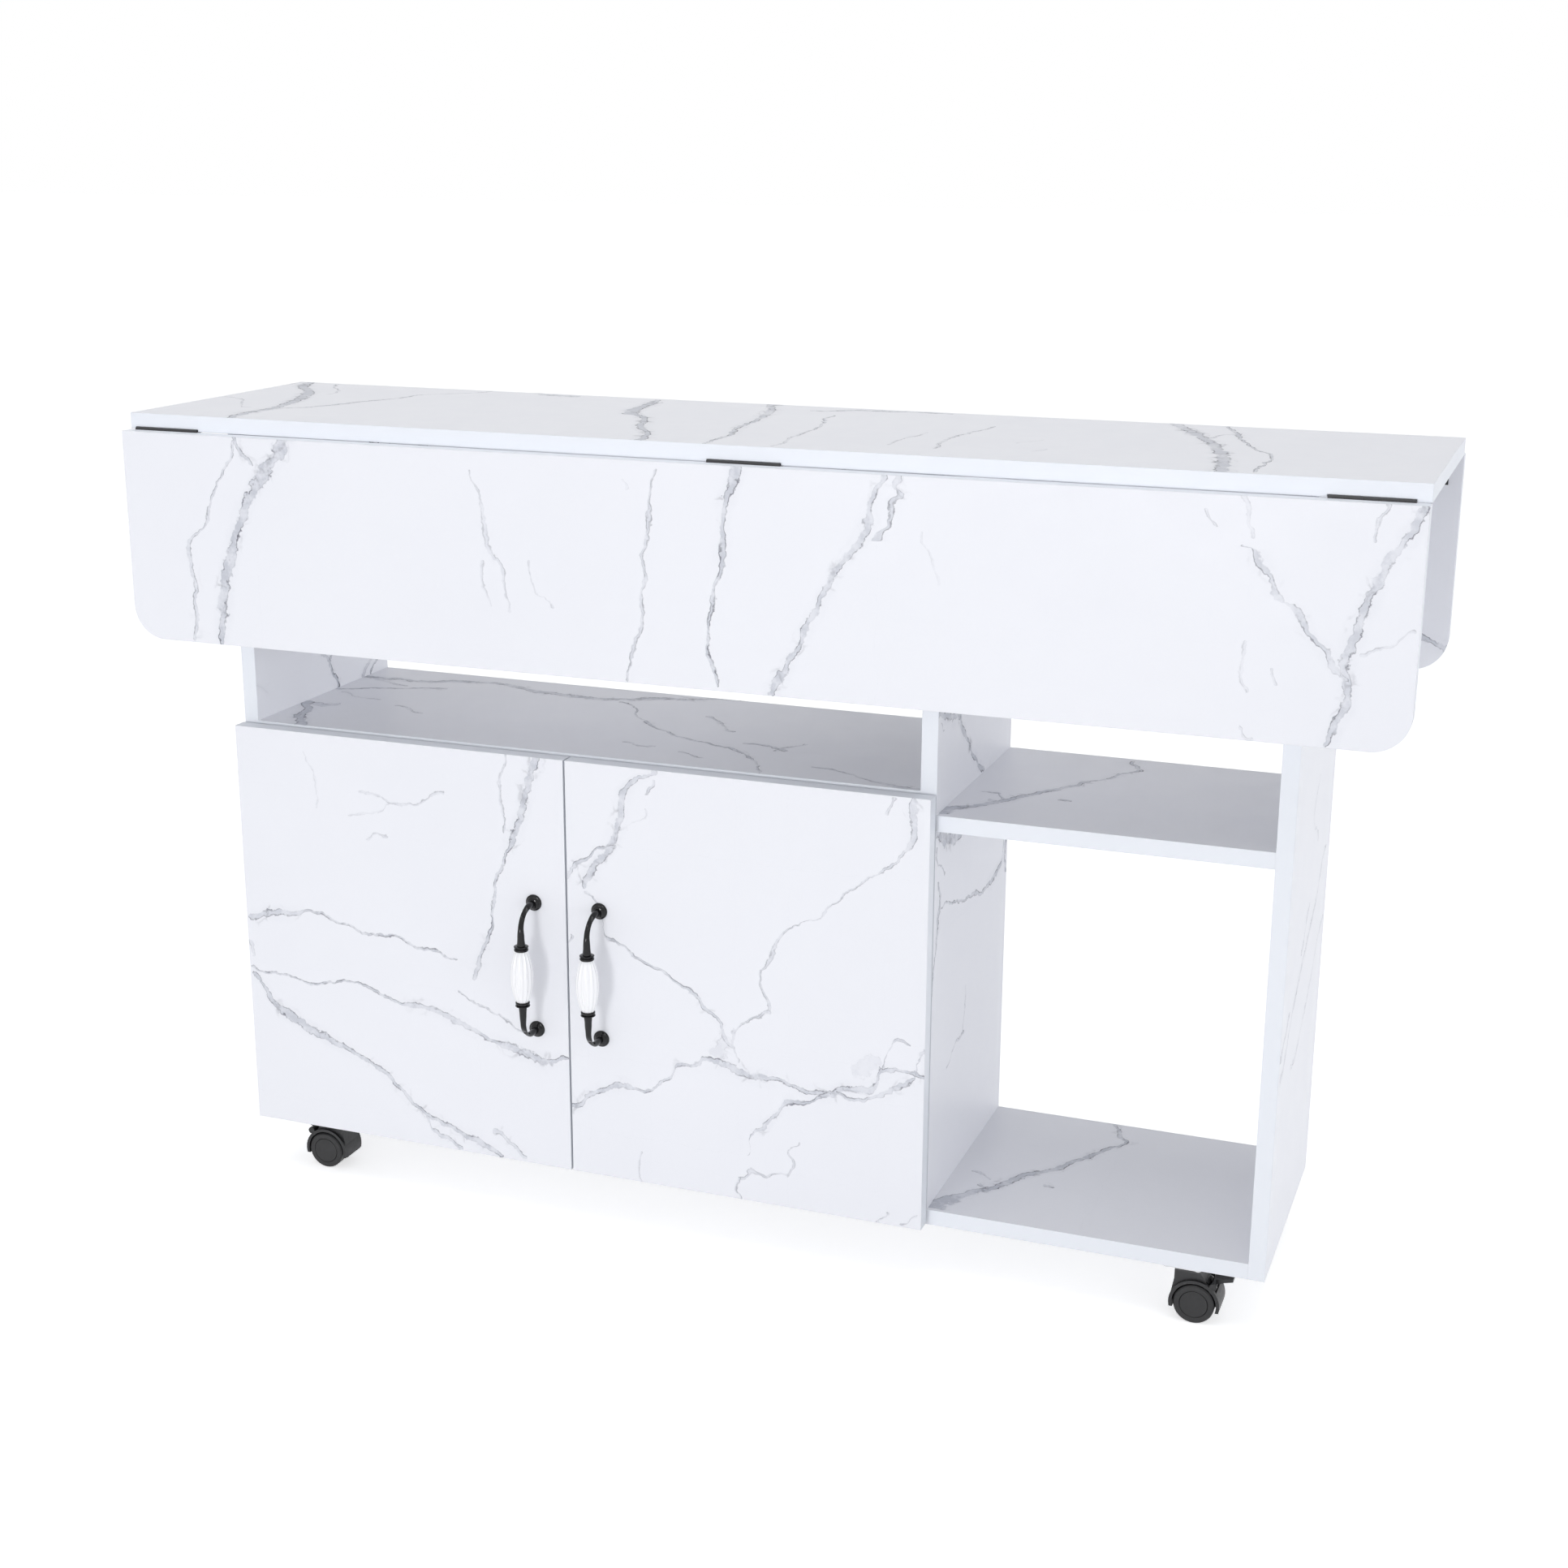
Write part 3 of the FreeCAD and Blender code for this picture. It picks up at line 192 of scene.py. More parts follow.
LEFT_DOOR_VEINS = (
    (0.9, (659, 930, 9), (650, 960, 9), (646, 988, 7), (638, 1016, 8), (630, 1036, 7), (620, 1064, 3),
     (610, 1088, 3), (607, 1116, 3), (604, 1144, 3), (596, 1168, 5), (590, 1188, 5), (587, 1206, 3)),
    (0.5, (622, 928, 2), (614, 964, 2), (616, 992, 2), (622, 1028, 2)),
    (0.75, (306, 1128, 4), (332, 1126, 7), (364, 1125, 5), (384, 1122, 2.5), (408, 1130, 2),
     (432, 1140, 2), (460, 1152, 2), (488, 1155, 2), (516, 1166, 2), (540, 1171, 2), (566, 1181, 1.5)),
    (0.8, (309, 1190, 2), (328, 1198, 2), (346, 1201, 2), (366, 1205, 2), (386, 1214, 2), (408, 1213, 2),
     (434, 1211, 2.5), (452, 1218, 2.5), (476, 1228, 3), (496, 1236, 3.5), (520, 1240, 5), (540, 1246, 6),
     (560, 1256, 6), (584, 1268, 5), (600, 1278, 5), (624, 1288, 7), (648, 1298, 9), (670, 1306, 7),
     (703, 1302, 2)),
    (0.9, (310, 1198, 5), (328, 1222, 8), (346, 1244, 10), (370, 1260, 11), (392, 1272, 8),
     (412, 1284, 6), (428, 1294, 5), (452, 1308, 4), (472, 1322, 5), (492, 1340, 5), (512, 1360, 5),
     (532, 1376, 6), (556, 1388, 5), (576, 1398, 5), (597, 1409, 7), (622, 1422, 2)),
    (0.7, (526, 1376, 4), (536, 1394, 5), (556, 1404, 5), (570, 1415, 5)),
    (0.55, (610, 1396, 4), (632, 1412, 6), (650, 1425, 3)),
    (0.6, (568, 1222, 2), (584, 1232, 2), (604, 1244, 2), (620, 1258, 2), (644, 1272, 2)),
    (0.4, (442, 978, 2), (464, 980, 2), (484, 988, 2), (504, 989, 2), (524, 984, 2), (546, 978, 2)),
    (0.25, (430, 1006, 2), (452, 1004, 2), (470, 1000, 2), (480, 990, 2)),
    (0.3, (450, 1036, 2), (462, 1031, 2), (476, 1032, 2)),
    (0.18, (374, 928, 2), (388, 956, 2), (390, 996, 2)),
    (0.4, (306, 1156, 5), (312, 1176, 3)),
)
RIGHT_DOOR_VEINS = (
    (0.85, (806, 947, 5), (795, 955, 7), (780, 964, 9), (768, 981, 8), (763, 1002, 8), (759, 1024, 8),
     (750, 1045, 8), (736, 1062, 7), (727, 1079, 7), (722, 1094, 5)),
    (0.8, (757, 1043, 3), (740, 1041, 3), (725, 1058, 4), (710, 1064, 6), (697, 1078, 8)),
    (0.6, (806, 961, 4), (797, 980, 2)),
    (0.75, (723, 1098, 3), (736, 1113, 3), (742, 1139, 2), (746, 1152, 2), (765, 1164, 2),
     (793, 1184, 2.5), (821, 1199, 3), (836, 1212, 2.5), (855, 1224, 4), (870, 1241, 5), (885, 1258, 5),
     (896, 1276, 6), (907, 1289, 3)),
    (0.6, (1127, 984, 7), (1126, 1011, 7), (1124, 1032, 6), (1111, 1054, 4), (1090, 1071, 3.5),
     (1068, 1084, 3), (1051, 1096, 2), (1034, 1109, 2), (1017, 1122, 2.5), (1011, 1132, 2),
     (987, 1137, 2), (970, 1148, 2.5), (960, 1160, 3), (953, 1177, 4), (947, 1192, 3), (937, 1200, 2)),
    (0.6, (938, 1197, 2), (940, 1216, 2), (947, 1250, 4)),
    (0.6, (948, 1248, 3), (930, 1254, 2), (915, 1263, 2.5), (904, 1271, 2)),
    (0.5, (906, 1268, 2), (906, 1292, 2), (910, 1308, 2)),
    (0.4, (1102, 983, 3), (1092, 1004, 3)),
    (0.9, (703, 1361, 6), (727, 1348, 6), (748, 1340, 5), (770, 1337, 6), (791, 1341, 3), (812, 1335, 3),
     (828, 1326, 4), (834, 1313, 5), (851, 1312, 3), (885, 1308, 5), (906, 1316, 8), (932, 1327, 8),
     (962, 1331, 4), (987, 1342, 5), (1017, 1348, 6), (1043, 1342, 6), (1072, 1340, 7), (1090, 1320, 6),
     (1124, 1322, 4), (1140, 1329, 4)),
    (0.75, (1141, 1297, 3), (1128, 1320, 4), (1124, 1331, 4), (1098, 1342, 5), (1072, 1350, 4),
     (1049, 1356, 3), (1032, 1347, 2)),
    (0.6, (1122, 1289, 1), (1107, 1284, 3), (1096, 1297, 3), (1084, 1320, 4)),
    (0.3, (1050, 1319, 12), (1068, 1313, 20), (1086, 1311, 8)),
    (0.3, (887, 1303, 13), (892, 1288, 12), (899, 1276, 6)),
    (0.85, (1023, 1349, 3), (987, 1359, 3), (968, 1356, 6), (957, 1369, 7), (944, 1386, 6),
     (930, 1397, 4), (923, 1408, 3), (922, 1423, 2)),
    (0.5, (912, 1478, 2), (906, 1463, 2), (912, 1450, 2)),
    (0.5, (912, 1450, 2), (928, 1442, 4), (940, 1446, 2), (970, 1447, 2)),
    (0.5, (970, 1449, 2), (976, 1433, 3), (970, 1420, 2)),
    (0.4, (970, 1420, 2), (976, 1413, 2), (986, 1407, 2)),
    (0.3, (789, 1418, 2), (787, 1438, 2), (790, 1457, 2)),
    (0.4, (1078, 1507, 2), (1091, 1496, 2)),
    (0.4, (1109, 1510, 2), (1127, 1498, 2)),
    (0.5, (698, 1162, 2.5), (706, 1153, 2.5)),
    (0.15, (795, 998, 2), (772, 1024, 2)),
)
TOP_VEINS = (
    (1, (394, 470, 9), (380, 485, 14), (360, 495, 11), (331, 504, 9), (303, 509, 8), (270, 518, 8)),
    (0.6, (331, 505, 5), (388, 501, 5), (445, 495, 4), (490, 491, 4), (513, 487, 3), (558, 485, 2),
     (606, 482, 1.5)),
    (0.45, (425, 472, 2.5), (405, 486, 2.5)),
    (0.7, (378, 470, 5), (343, 475, 5)),
    (0.4, (278, 489, 3), (300, 496, 3), (308, 502, 3)),
    (0.8, (649, 482, 5), (671, 486, 9), (717, 489, 4)),
    (0.95, (812, 493, 7), (796, 500, 11), (776, 508, 16), (794, 515, 9), (790, 525, 8), (784, 543, 7)),
    (0.85, (963, 495, 10), (949, 507, 11), (935, 516, 6), (909, 528, 5), (887, 541, 4), (858, 550, 3)),
    (0.55, (1028, 512, 2), (1006, 528, 3), (974, 539, 3), (954, 550, 3)),
    (0.7, (1000, 506, 3), (1050, 506, 6), (1097, 507, 5), (1173, 510, 2)),
    (0.5, (1226, 526, 2), (1196, 533, 3), (1167, 541, 3), (1149, 552, 3)),
    (0.3, (1144, 533, 2), (1115, 541, 2), (1091, 548, 2)),
    (1, (1450, 519, 13), (1466, 530, 12), (1487, 542, 12), (1498, 551, 12), (1507, 566, 13),
     (1500, 583, 12)),
    (0.65, (1519, 522, 3), (1528, 539, 4), (1542, 551, 3), (1566, 566, 3)),
    (0.65, (1566, 566, 3), (1553, 574, 3), (1546, 582, 3)),
    (0.5, (1490, 542, 2.5), (1510, 536, 2.5), (1528, 535, 2.5)),
    (0.2, (1255, 546, 2), (1285, 542, 2)),
    (0.2, (1270, 556, 2), (1290, 553, 2)),
)
TRAY_VEINS = (
    (1, (446, 833, 5), (480, 836, 7), (518, 839, 9), (560, 839, 8), (605, 842, 7), (640, 847, 8),
     (670, 853, 8), (735, 860, 9), (800, 861, 9), (860, 862, 7), (915, 863, 4)),
    (0.8, (416, 848, 4), (450, 848, 4), (500, 848, 4), (552, 849, 5)),
    (0.6, (450, 833, 5), (468, 838, 5), (500, 845, 3)),
    (0.95, (380, 864, 14), (378, 874, 12), (370, 884, 12), (364, 895, 10)),
    (0.5, (384, 866, 10), (400, 869, 16), (416, 868, 8)),
    (0.4, (425, 852, 5), (440, 858, 4), (470, 862, 3)),
    (0.5, (487, 869, 3), (505, 874, 3), (520, 879, 3)),
    (0.85, (763, 865, 3), (787, 884, 4), (808, 895, 4), (843, 910, 4), (873, 916, 4), (904, 923, 5),
     (925, 935, 5), (936, 947, 4), (942, 958, 4)),
    (0.8, (869, 883, 4), (886, 890, 5), (906, 901, 3)),
    (0.75, (917, 916, 3), (943, 919, 5), (969, 925, 4)),
    (0.6, (955, 925, 4), (975, 920, 4), (992, 917, 4)),
    (0.6, (769, 914, 3), (788, 919, 3), (806, 920, 3)),
    (0.5, (839, 926, 3), (865, 934, 3)),
    (0.6, (1000, 945, 3), (1043, 953, 3), (1090, 966, 5), (1132, 973, 8)),
)
LEFT_PANEL_VEINS = (
    (1, (396, 800, 6), (403, 811, 5), (410, 825, 4), (418, 846, 4)),
    (0.6, (413, 803, 3), (406, 813, 2)),
    (0.5, (459, 806, 6), (453, 820, 7), (448, 835, 6)),
    (0.8, (464, 808, 4), (460, 822, 3), (457, 832, 3)),
)
DIVIDER_VEINS = (
    (0.9, (1156, 878, 7), (1170, 881, 9), (1184, 880, 6)),
    (1, (1180, 878, 5), (1184, 892, 7), (1190, 905, 6), (1197, 926, 6), (1203, 937, 6), (1212, 949, 5)),
    (0.4, (1160, 890, 2), (1164, 900, 2)),
    (0.9, (1152, 1027, 9), (1163, 1032, 12), (1174, 1032, 12), (1185, 1026, 5)),
    (0.6, (1154, 1045, 3), (1154, 1060, 3), (1164, 1076, 2)),
    (0.65, (1157, 1085, 4), (1158, 1105, 5), (1156, 1130, 6), (1152, 1177, 4), (1149, 1215, 3),
     (1147, 1262, 4)),
    (0.8, (1237, 1036, 5), (1235, 1058, 6), (1222, 1084, 6), (1213, 1096, 3)),
    (0.6, (1213, 1097, 3), (1200, 1100, 4), (1192, 1105, 3), (1178, 1113, 2.5), (1160, 1119, 2)),
    (0.9, (1239, 1034, 6), (1238, 1050, 6), (1239, 1074, 6)),
    (0.3, (1190, 1216, 2.5), (1188, 1240, 2.5), (1186, 1271, 2.5)),
    (0.4, (1188, 1270, 2.5), (1177, 1285, 2.5), (1166, 1314, 2.5)),
)
RIGHT_SHELF_VEINS = (
    (1, (1152, 1002, 22), (1178, 995, 16), (1192, 994, 12), (1218, 990, 11), (1260, 981, 10),
     (1310, 971, 8), (1340, 963, 6), (1362, 960, 5), (1382, 955, 5), (1406, 949, 3)),
    (0.75, (1407, 950, 4), (1403, 946, 6), (1396, 938, 5)),
    (0.55, (1213, 975, 3), (1228, 976, 5), (1236, 983, 3)),
    (0.6, (1218, 985, 5), (1230, 988, 5)),
    (0.6, (1305, 985, 4), (1318, 987, 4)),
)
RIGHT_BOTTOM_VEINS = (
    (1, (1146, 1488, 24), (1172, 1476, 18), (1192, 1471, 14), (1218, 1465, 11), (1260, 1449, 10),
     (1300, 1440, 8), (1320, 1431, 7), (1342, 1425, 6), (1365, 1416, 5), (1388, 1407, 4)),
    (0.8, (1389, 1408, 4), (1381, 1402, 6), (1380, 1393, 5), (1373, 1386, 6)),
    (0.55, (1198, 1442, 3), (1210, 1446, 4), (1219, 1453, 4)),
    (0.6, (1207, 1459, 5), (1218, 1464, 5)),
    (0.6, (1286, 1461, 4), (1297, 1463, 4)),
)
RIGHT_PANEL_VEINS = (
    (0.3, (1627, 955, 3), (1620, 1000, 5), (1624, 1035, 3)),
    (0.55, (1634, 1040, 3), (1621, 1110, 6), (1604, 1190, 6), (1592, 1250, 6), (1577, 1330, 9)),
    (0.4, (1630, 1130, 4), (1612, 1220, 5), (1590, 1318, 4)),
    (0.5, (1614, 1115, 5), (1603, 1175, 3)),
    (0.6, (1588, 1250, 7), (1578, 1310, 9)),
)
BACK_LEAF_VEINS = (
    (0.8, (1748, 786, 6), (1766, 792, 5), (1784, 800, 6)),
)

# Every board with its thin axis, the face on that axis that the photo shows, low (0) or high (1), and
# the veins of that face.
BOARDS = {
    "front_leaf": (1, 0, LEAF_VEINS),
    "back_leaf": (1, 0, BACK_LEAF_VEINS),
    "left_door": (1, 0, LEFT_DOOR_VEINS),
    "right_door": (1, 0, RIGHT_DOOR_VEINS),
    "back_panel": (1, 0, ()),
    "top_panel": (2, 1, TOP_VEINS),
    "tray_shelf": (2, 1, TRAY_VEINS),
    "cabinet_bottom": (2, 1, ()),
    "right_shelf": (2, 1, RIGHT_SHELF_VEINS),
    "right_bottom": (2, 1, RIGHT_BOTTOM_VEINS),
    "left_side_panel": (0, 1, LEFT_PANEL_VEINS),
    "right_side_panel": (0, 1, RIGHT_PANEL_VEINS),
    "divider_panel": (0, 1, DIVIDER_VEINS),
}
# Boards of which the photo shows a corner or nothing, with the board that they look like and the veins
# that they share with it or its neighbour.
PRINTED_LIKE = {
    "back_leaf": ("front_leaf", LEAF_VEINS[:9]),
    "back_panel": ("left_door", LEFT_DOOR_VEINS[:7] + RIGHT_DOOR_VEINS[3:10]),
}
# Boards whose veins print darker than the rest.
DEPTH = {
    "top_panel": 1.5,
    "tray_shelf": 1.2,
    "right_shelf": 1.3,
    "right_bottom": 1.3,
    "divider_panel": 1.4,
    "left_side_panel": 1.3,
}
DRAWN = 5                  # boards with fewer drawn veins than this get stray ones too

# ---------------------------------------------------------------- pulls, mm
PULL_SWEEPS = (20.0, 16.0)  # bend radius of the upper and the lower leg's centre line
# Share of a leg's length from the door on, and its radius there.
PULL_LEG = ((0.0, 3.4), (0.18, 3.0), (0.42, 2.65), (0.62, 2.7), (0.82, 3.4), (1.0, 4.2))
# Radius, and height off the door.
PULL_ROSE = (
    (0.1, 0.0), (7.9, 0.0), (8.0, 0.3), (8.0, 1.2), (7.7, 1.7), (6.9, 2.0), (6.4, 2.1), (6.0, 2.7),
    (5.4, 3.3), (4.7, 3.7), (3.9, 3.9), (2.6, 4.1), (0.1, 4.2),
)
ROSE_RADIUS = max(radius for radius, _ in PULL_ROSE)
# Radius, and height off the grip.
PULL_COLLAR = (
    (0.1, 0.0), (6.3, 0.0), (6.8, 0.6), (6.8, 1.8), (6.2, 2.4), (5.5, 2.7), (5.5, 3.2), (6.5, 3.5),
    (7.0, 3.9), (7.0, 4.4), (6.4, 4.8), (4.4, 5.0), (0.1, 5.0),
)
COLLAR_HEIGHT = PULL_COLLAR[-1][1]
STEPS = 28                 # rings along a leg
SIDES = 40                 # corners of each ring
CREASE = 50.0              # degrees from which an edge stays sharp
ACROSS = Vector((1, 0, 0))
OUTWARD = Vector((0, 1, 0))
UPWARD = Vector((0, 0, 1))


# ---------------------------------------------------------------- camera
def camera_axes():
    """The camera's right, up and backward directions."""
    turn, rise, roll = (math.radians(d) for d in (CAMERA_TURN, CAMERA_RISE, CAMERA_ROLL))
    back = Vector((math.sin(turn) * math.cos(rise), -math.cos(turn) * math.cos(rise), math.sin(rise)))
    level = (-back).cross(Vector((0, 0, 1))).normalized()
    upright = level.cross(-back)
    right = math.cos(roll) * level + math.sin(roll) * upright
    up = math.cos(roll) * upright - math.sin(roll) * level
    return right, up, back


def cast(across, down, axis, level):
    """Where the sight line through a pixel meets the plane at that level of an axis."""
    right, up, back = camera_axes()
    middle = IMAGE_PIXELS / 2
    ray = right * (across - middle) - up * (down - middle) - back * FOCAL_PIXELS
    return CAMERA_AT + ray * ((level - CAMERA_AT[axis]) / ray[axis])


def add_camera():
    data = bpy.data.cameras.new("camera")
    data.sensor_width = SENSOR
    data.lens = FOCAL_PIXELS * SENSOR / IMAGE_PIXELS
    camera = bpy.data.objects.new("camera", data)
    turned = Matrix(camera_axes()).transposed().to_4x4()
    camera.matrix_world = Matrix.Translation(CAMERA_AT) @ turned
    bpy.context.collection.objects.link(camera)
    bpy.context.scene.camera = camera


# ---------------------------------------------------------------- shader helpers
class Graph:
    """A material's node tree, or another one, with short names for the nodes used here."""

    def __init__(self, name=None, tree=None):
        self.tree = tree
        if name is not None:
            self.mat = bpy.data.materials.new(name)
            self.mat.use_nodes = True
            self.tree = self.mat.node_tree
            self.bsdf = next(n for n in self.tree.nodes if n.type == "BSDF_PRINCIPLED")
            self.coord = self.add("TexCoord")
            self.place = self.coord.outputs["Object"]

    def add(self, kind, **props):
        node = self.tree.nodes.new("ShaderNode" + kind)
        for key, value in props.items():
            setattr(node, key, value)
        return node

    def wire(self, value, socket):
        """Link a node's output to a socket, or write a plain value there."""
        if isinstance(value, bpy.types.NodeSocket):
            self.tree.links.new(value, socket)
        else:
            socket.default_value = value

    def math(self, operation, *values):
        node = self.add("Math", operation=operation)
        for i, value in enumerate(values):
            self.wire(value, node.inputs[i])
        return node.outputs[0]

    def vector(self, operation, *values):
        node = self.add("VectorMath", operation=operation)
        for i, value in enumerate(values):
            self.wire(value, node.inputs[i])
        return node.outputs[0]

    def ramp(self, value, start, end, first=0.0, last=1.0, soft=True):
        """Carry a value from one range to another and hold it there."""
        node = self.add("MapRange", interpolation_type="SMOOTHSTEP" if soft else "LINEAR")
        names = ("Value", "From Min", "From Max", "To Min", "To Max")
        for key, x in zip(names, (value, start, end, first, last)):
            self.wire(x, node.inputs[key])
        return node.outputs[0]

    def noise(self, where, scale, detail=3.0, rough=0.5, distortion=0.0):
        node = self.add("TexNoise")
        self.wire(where, node.inputs["Vector"])
        node.inputs["Scale"].default_value = scale
        node.inputs["Detail"].default_value = detail
        node.inputs["Roughness"].default_value = rough
        node.inputs["Distortion"].default_value = distortion
        return node

    def level(self, noise):
        """A noise at the surface, from 0 to 1 with its middle at 0.5."""
        return self.noise(self.place, *noise).outputs["Fac"]

    def mix(self, share, a, b):
        node = self.add("Mix", data_type="RGBA")
        self.wire(share, node.inputs["Factor"])
        self.wire(a, node.inputs["A"])
        self.wire(b, node.inputs["B"])
        return node.outputs["Result"]

    def axes(self, vector):
        node = self.add("SeparateXYZ")
        self.wire(vector, node.inputs[0])
        return node.outputs

    def bump(self, height, strength, distance, normal=None):
        node = self.add("Bump")
        node.inputs["Strength"].default_value = strength
        node.inputs["Distance"].default_value = distance
        self.wire(height, node.inputs["Height"])
        if normal is not None:
            self.wire(normal, node.inputs["Normal"])
        return node.outputs[0]

    def set(self, **sockets):
        for key, value in sockets.items():
            self.wire(value, self.bsdf.inputs[key.replace("_", " ")])


# ---------------------------------------------------------------- marble
def warped(g):
    """The place on a board, shaken a few millimetres so that no vein runs smooth."""
    out = g.place
    for scale, reach in SHAKES:
        shake = g.noise(g.place, scale, SHAKE_DETAIL).outputs["Color"]
        shake = g.vector("SUBTRACT", shake, (0.5, 0.5, 0.5))
        out = g.vector("ADD", out, g.vector("MULTIPLY", shake, (reach, reach, reach)))
    return out


def course(curve, points):
    """Lay a curve of the node through the points, which run from 0 to 1."""
    curve.points[0].location = points[0]
    curve.points[-1].location = points[-1]
    for x, y in points[1:-1]:
        curve.points.new(x, y)
    for point in curve.points:
        point.handle_type = "AUTO_CLAMPED"


def backtrack(spots, axis):
    """Twice what a row of points goes against its own way along an axis, less its whole run."""
    run = spots[-1][0][axis] - spots[0][0][axis]
    steps = [(b[0][axis] - a[0][axis]) * math.copysign(1, run) for a, b in zip(spots, spots[1:])]
    return 2 * sum(max(-s, 0) for s in steps) - abs(run)


def vein(g, place, fray, swing, face_axis, level, strength, points):
    """How much of a soft band, a dark line and cracks one vein lays at each place."""
    spots = [(cast(x, y, face_axis, level), width * MM) for x, y, width in points]
    sides = (k for k in range(3) if k != face_axis)
    along, across = sorted(sides, key=lambda k: backtrack(spots, k))
    spots.sort(key=lambda s: s[0][along])
    first = spots[0][0][along] - MM
    run = spots[-1][0][along] + MM - first
    low = min(s[0][across] for s in spots)
    reach = max(max(s[0][across] for s in spots) - low, MM)
    ways = [(s[along] - first) / run for s, _ in spots]
    offsets = [(s[across] - low) / reach for s, _ in spots]
    widths = [w / MAX_WIDTH / MM for _, w in spots]

    shape = g.add("VectorCurve")
    middle = [(0.0, offsets[0])] + list(zip(ways, offsets)) + [(1.0, offsets[-1])]
    course(shape.mapping.curves[0], middle)
    course(shape.mapping.curves[1], [(0.0, 0.0)] + list(zip(ways, widths)) + [(1.0, 0.0)])
    shape.mapping.update()
    g.wire(g.ramp(place[along], first, first + run, soft=False), shape.inputs["Vector"])
    parts = g.axes(shape.outputs[0])
    centre = g.math("MULTIPLY_ADD", parts[0], reach, low)
    half = g.math("MULTIPLY_ADD", parts[1], 0.5 * MAX_WIDTH * MM, LEAST_HALF)
    off = g.math("SUBTRACT", place[across], centre)

    share = g.math("ADD", g.math("DIVIDE", off, half), fray)
    away = g.math("ABSOLUTE", share)
    band = g.ramp(away, *BAND_FADE, strength, 0.0)
    edge = g.math("MULTIPLY", g.math("ABSOLUTE", g.math("SUBTRACT", away, LINE_AT)), half)
    line = g.ramp(edge, *LINE_FADE, strength, 0.0)
    lined = g.ramp(g.math("MULTIPLY", g.math("SIGN", share), swing), *SWING_FADE, *SWING_RANGE)
    drawn = g.math("GREATER_THAN", parts[1], LEAST_WIDTH)
    line = g.math("MULTIPLY", g.math("MULTIPLY", line, lined), drawn)
    beside = g.math("DIVIDE", g.math("ABSOLUTE", off), g.math("ADD", half, HALO))
    halo = g.math("MULTIPLY", g.ramp(beside, *HALO_FADE, strength, 0.0), g.ramp(half, *HALO_WIDE))
    return band, line, halo


def stray_veins(g):
    """Thin veins where a wide noise passes its middle, in a few areas only."""
    ridge = g.math("ABSOLUTE", g.math("SUBTRACT", g.level(STRAY), 0.5))
    where = g.ramp(g.level(STRAY_AREAS), *STRAY_AREAS_FADE)
    band = g.math("MULTIPLY", g.ramp(ridge, *STRAY_BAND, STRAY_STRENGTH, 0.0), where)
    line = g.math("MULTIPLY", g.ramp(ridge, *STRAY_LINE, STRAY_STRENGTH, 0.0), where)
    return band, line


def printed_veins(node):
    """The veins of a board, each with the level of the face that it was read on."""
    axis, side, own = BOARDS[node]
    like, shared = PRINTED_LIKE.get(node, (node, ()))
    veins = [(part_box(node)[side][axis], v) for v in own]
    veins += [(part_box(like)[side][axis], v) for v in shared]
    return veins


def marks(g, node):
    """The soft and the dark marks of all veins of a board, with the cracks beside them."""
    axis = BOARDS[node][0]
    veins = printed_veins(node)
    spot = g.axes(warped(g))
    reach = FRAY_FLAT if axis == 2 else FRAY_UPRIGHT
    fray = g.ramp(g.level(FRAY), *FRAY_FADE, -reach, reach, soft=False)
    swing = g.math("SUBTRACT", g.level(SWING), SWING_MIDDLE)
    depth = DEPTH.get(node, 1.0)
    soft, dark, near = 0.0, 0.0, 0.0
    for level, (strength, *points) in veins:
        band, line, halo = vein(g, spot, fray, swing, axis, level, strength * depth, points)
        soft = g.math("MAXIMUM", soft, band)
        dark = g.math("MAXIMUM", dark, line)
        near = g.math("MAXIMUM", near, halo)

    if len(veins) < DRAWN:
        band, line = stray_veins(g)
        soft = g.math("MAXIMUM", soft, band)
        dark = g.math("MAXIMUM", dark, line)

    net = g.add("TexVoronoi", feature="DISTANCE_TO_EDGE")
    g.wire(warped(g), net.inputs["Vector"])
    net.inputs["Scale"].default_value = CRACK_SCALE
    crack = g.math("MULTIPLY", g.ramp(net.outputs["Distance"], *CRACK_FADE, 1.0, 0.0), near)
    crack = g.math("MULTIPLY", crack, g.ramp(g.level(CRACK_AREAS), *CRACK_AREAS_FADE))
    soft = g.math("MAXIMUM", soft, g.math("MULTIPLY", near, HALO_SOFT))
    dark = g.math("MAXIMUM", dark, g.math("MULTIPLY", crack, CRACK_DARK))
    return soft, dark


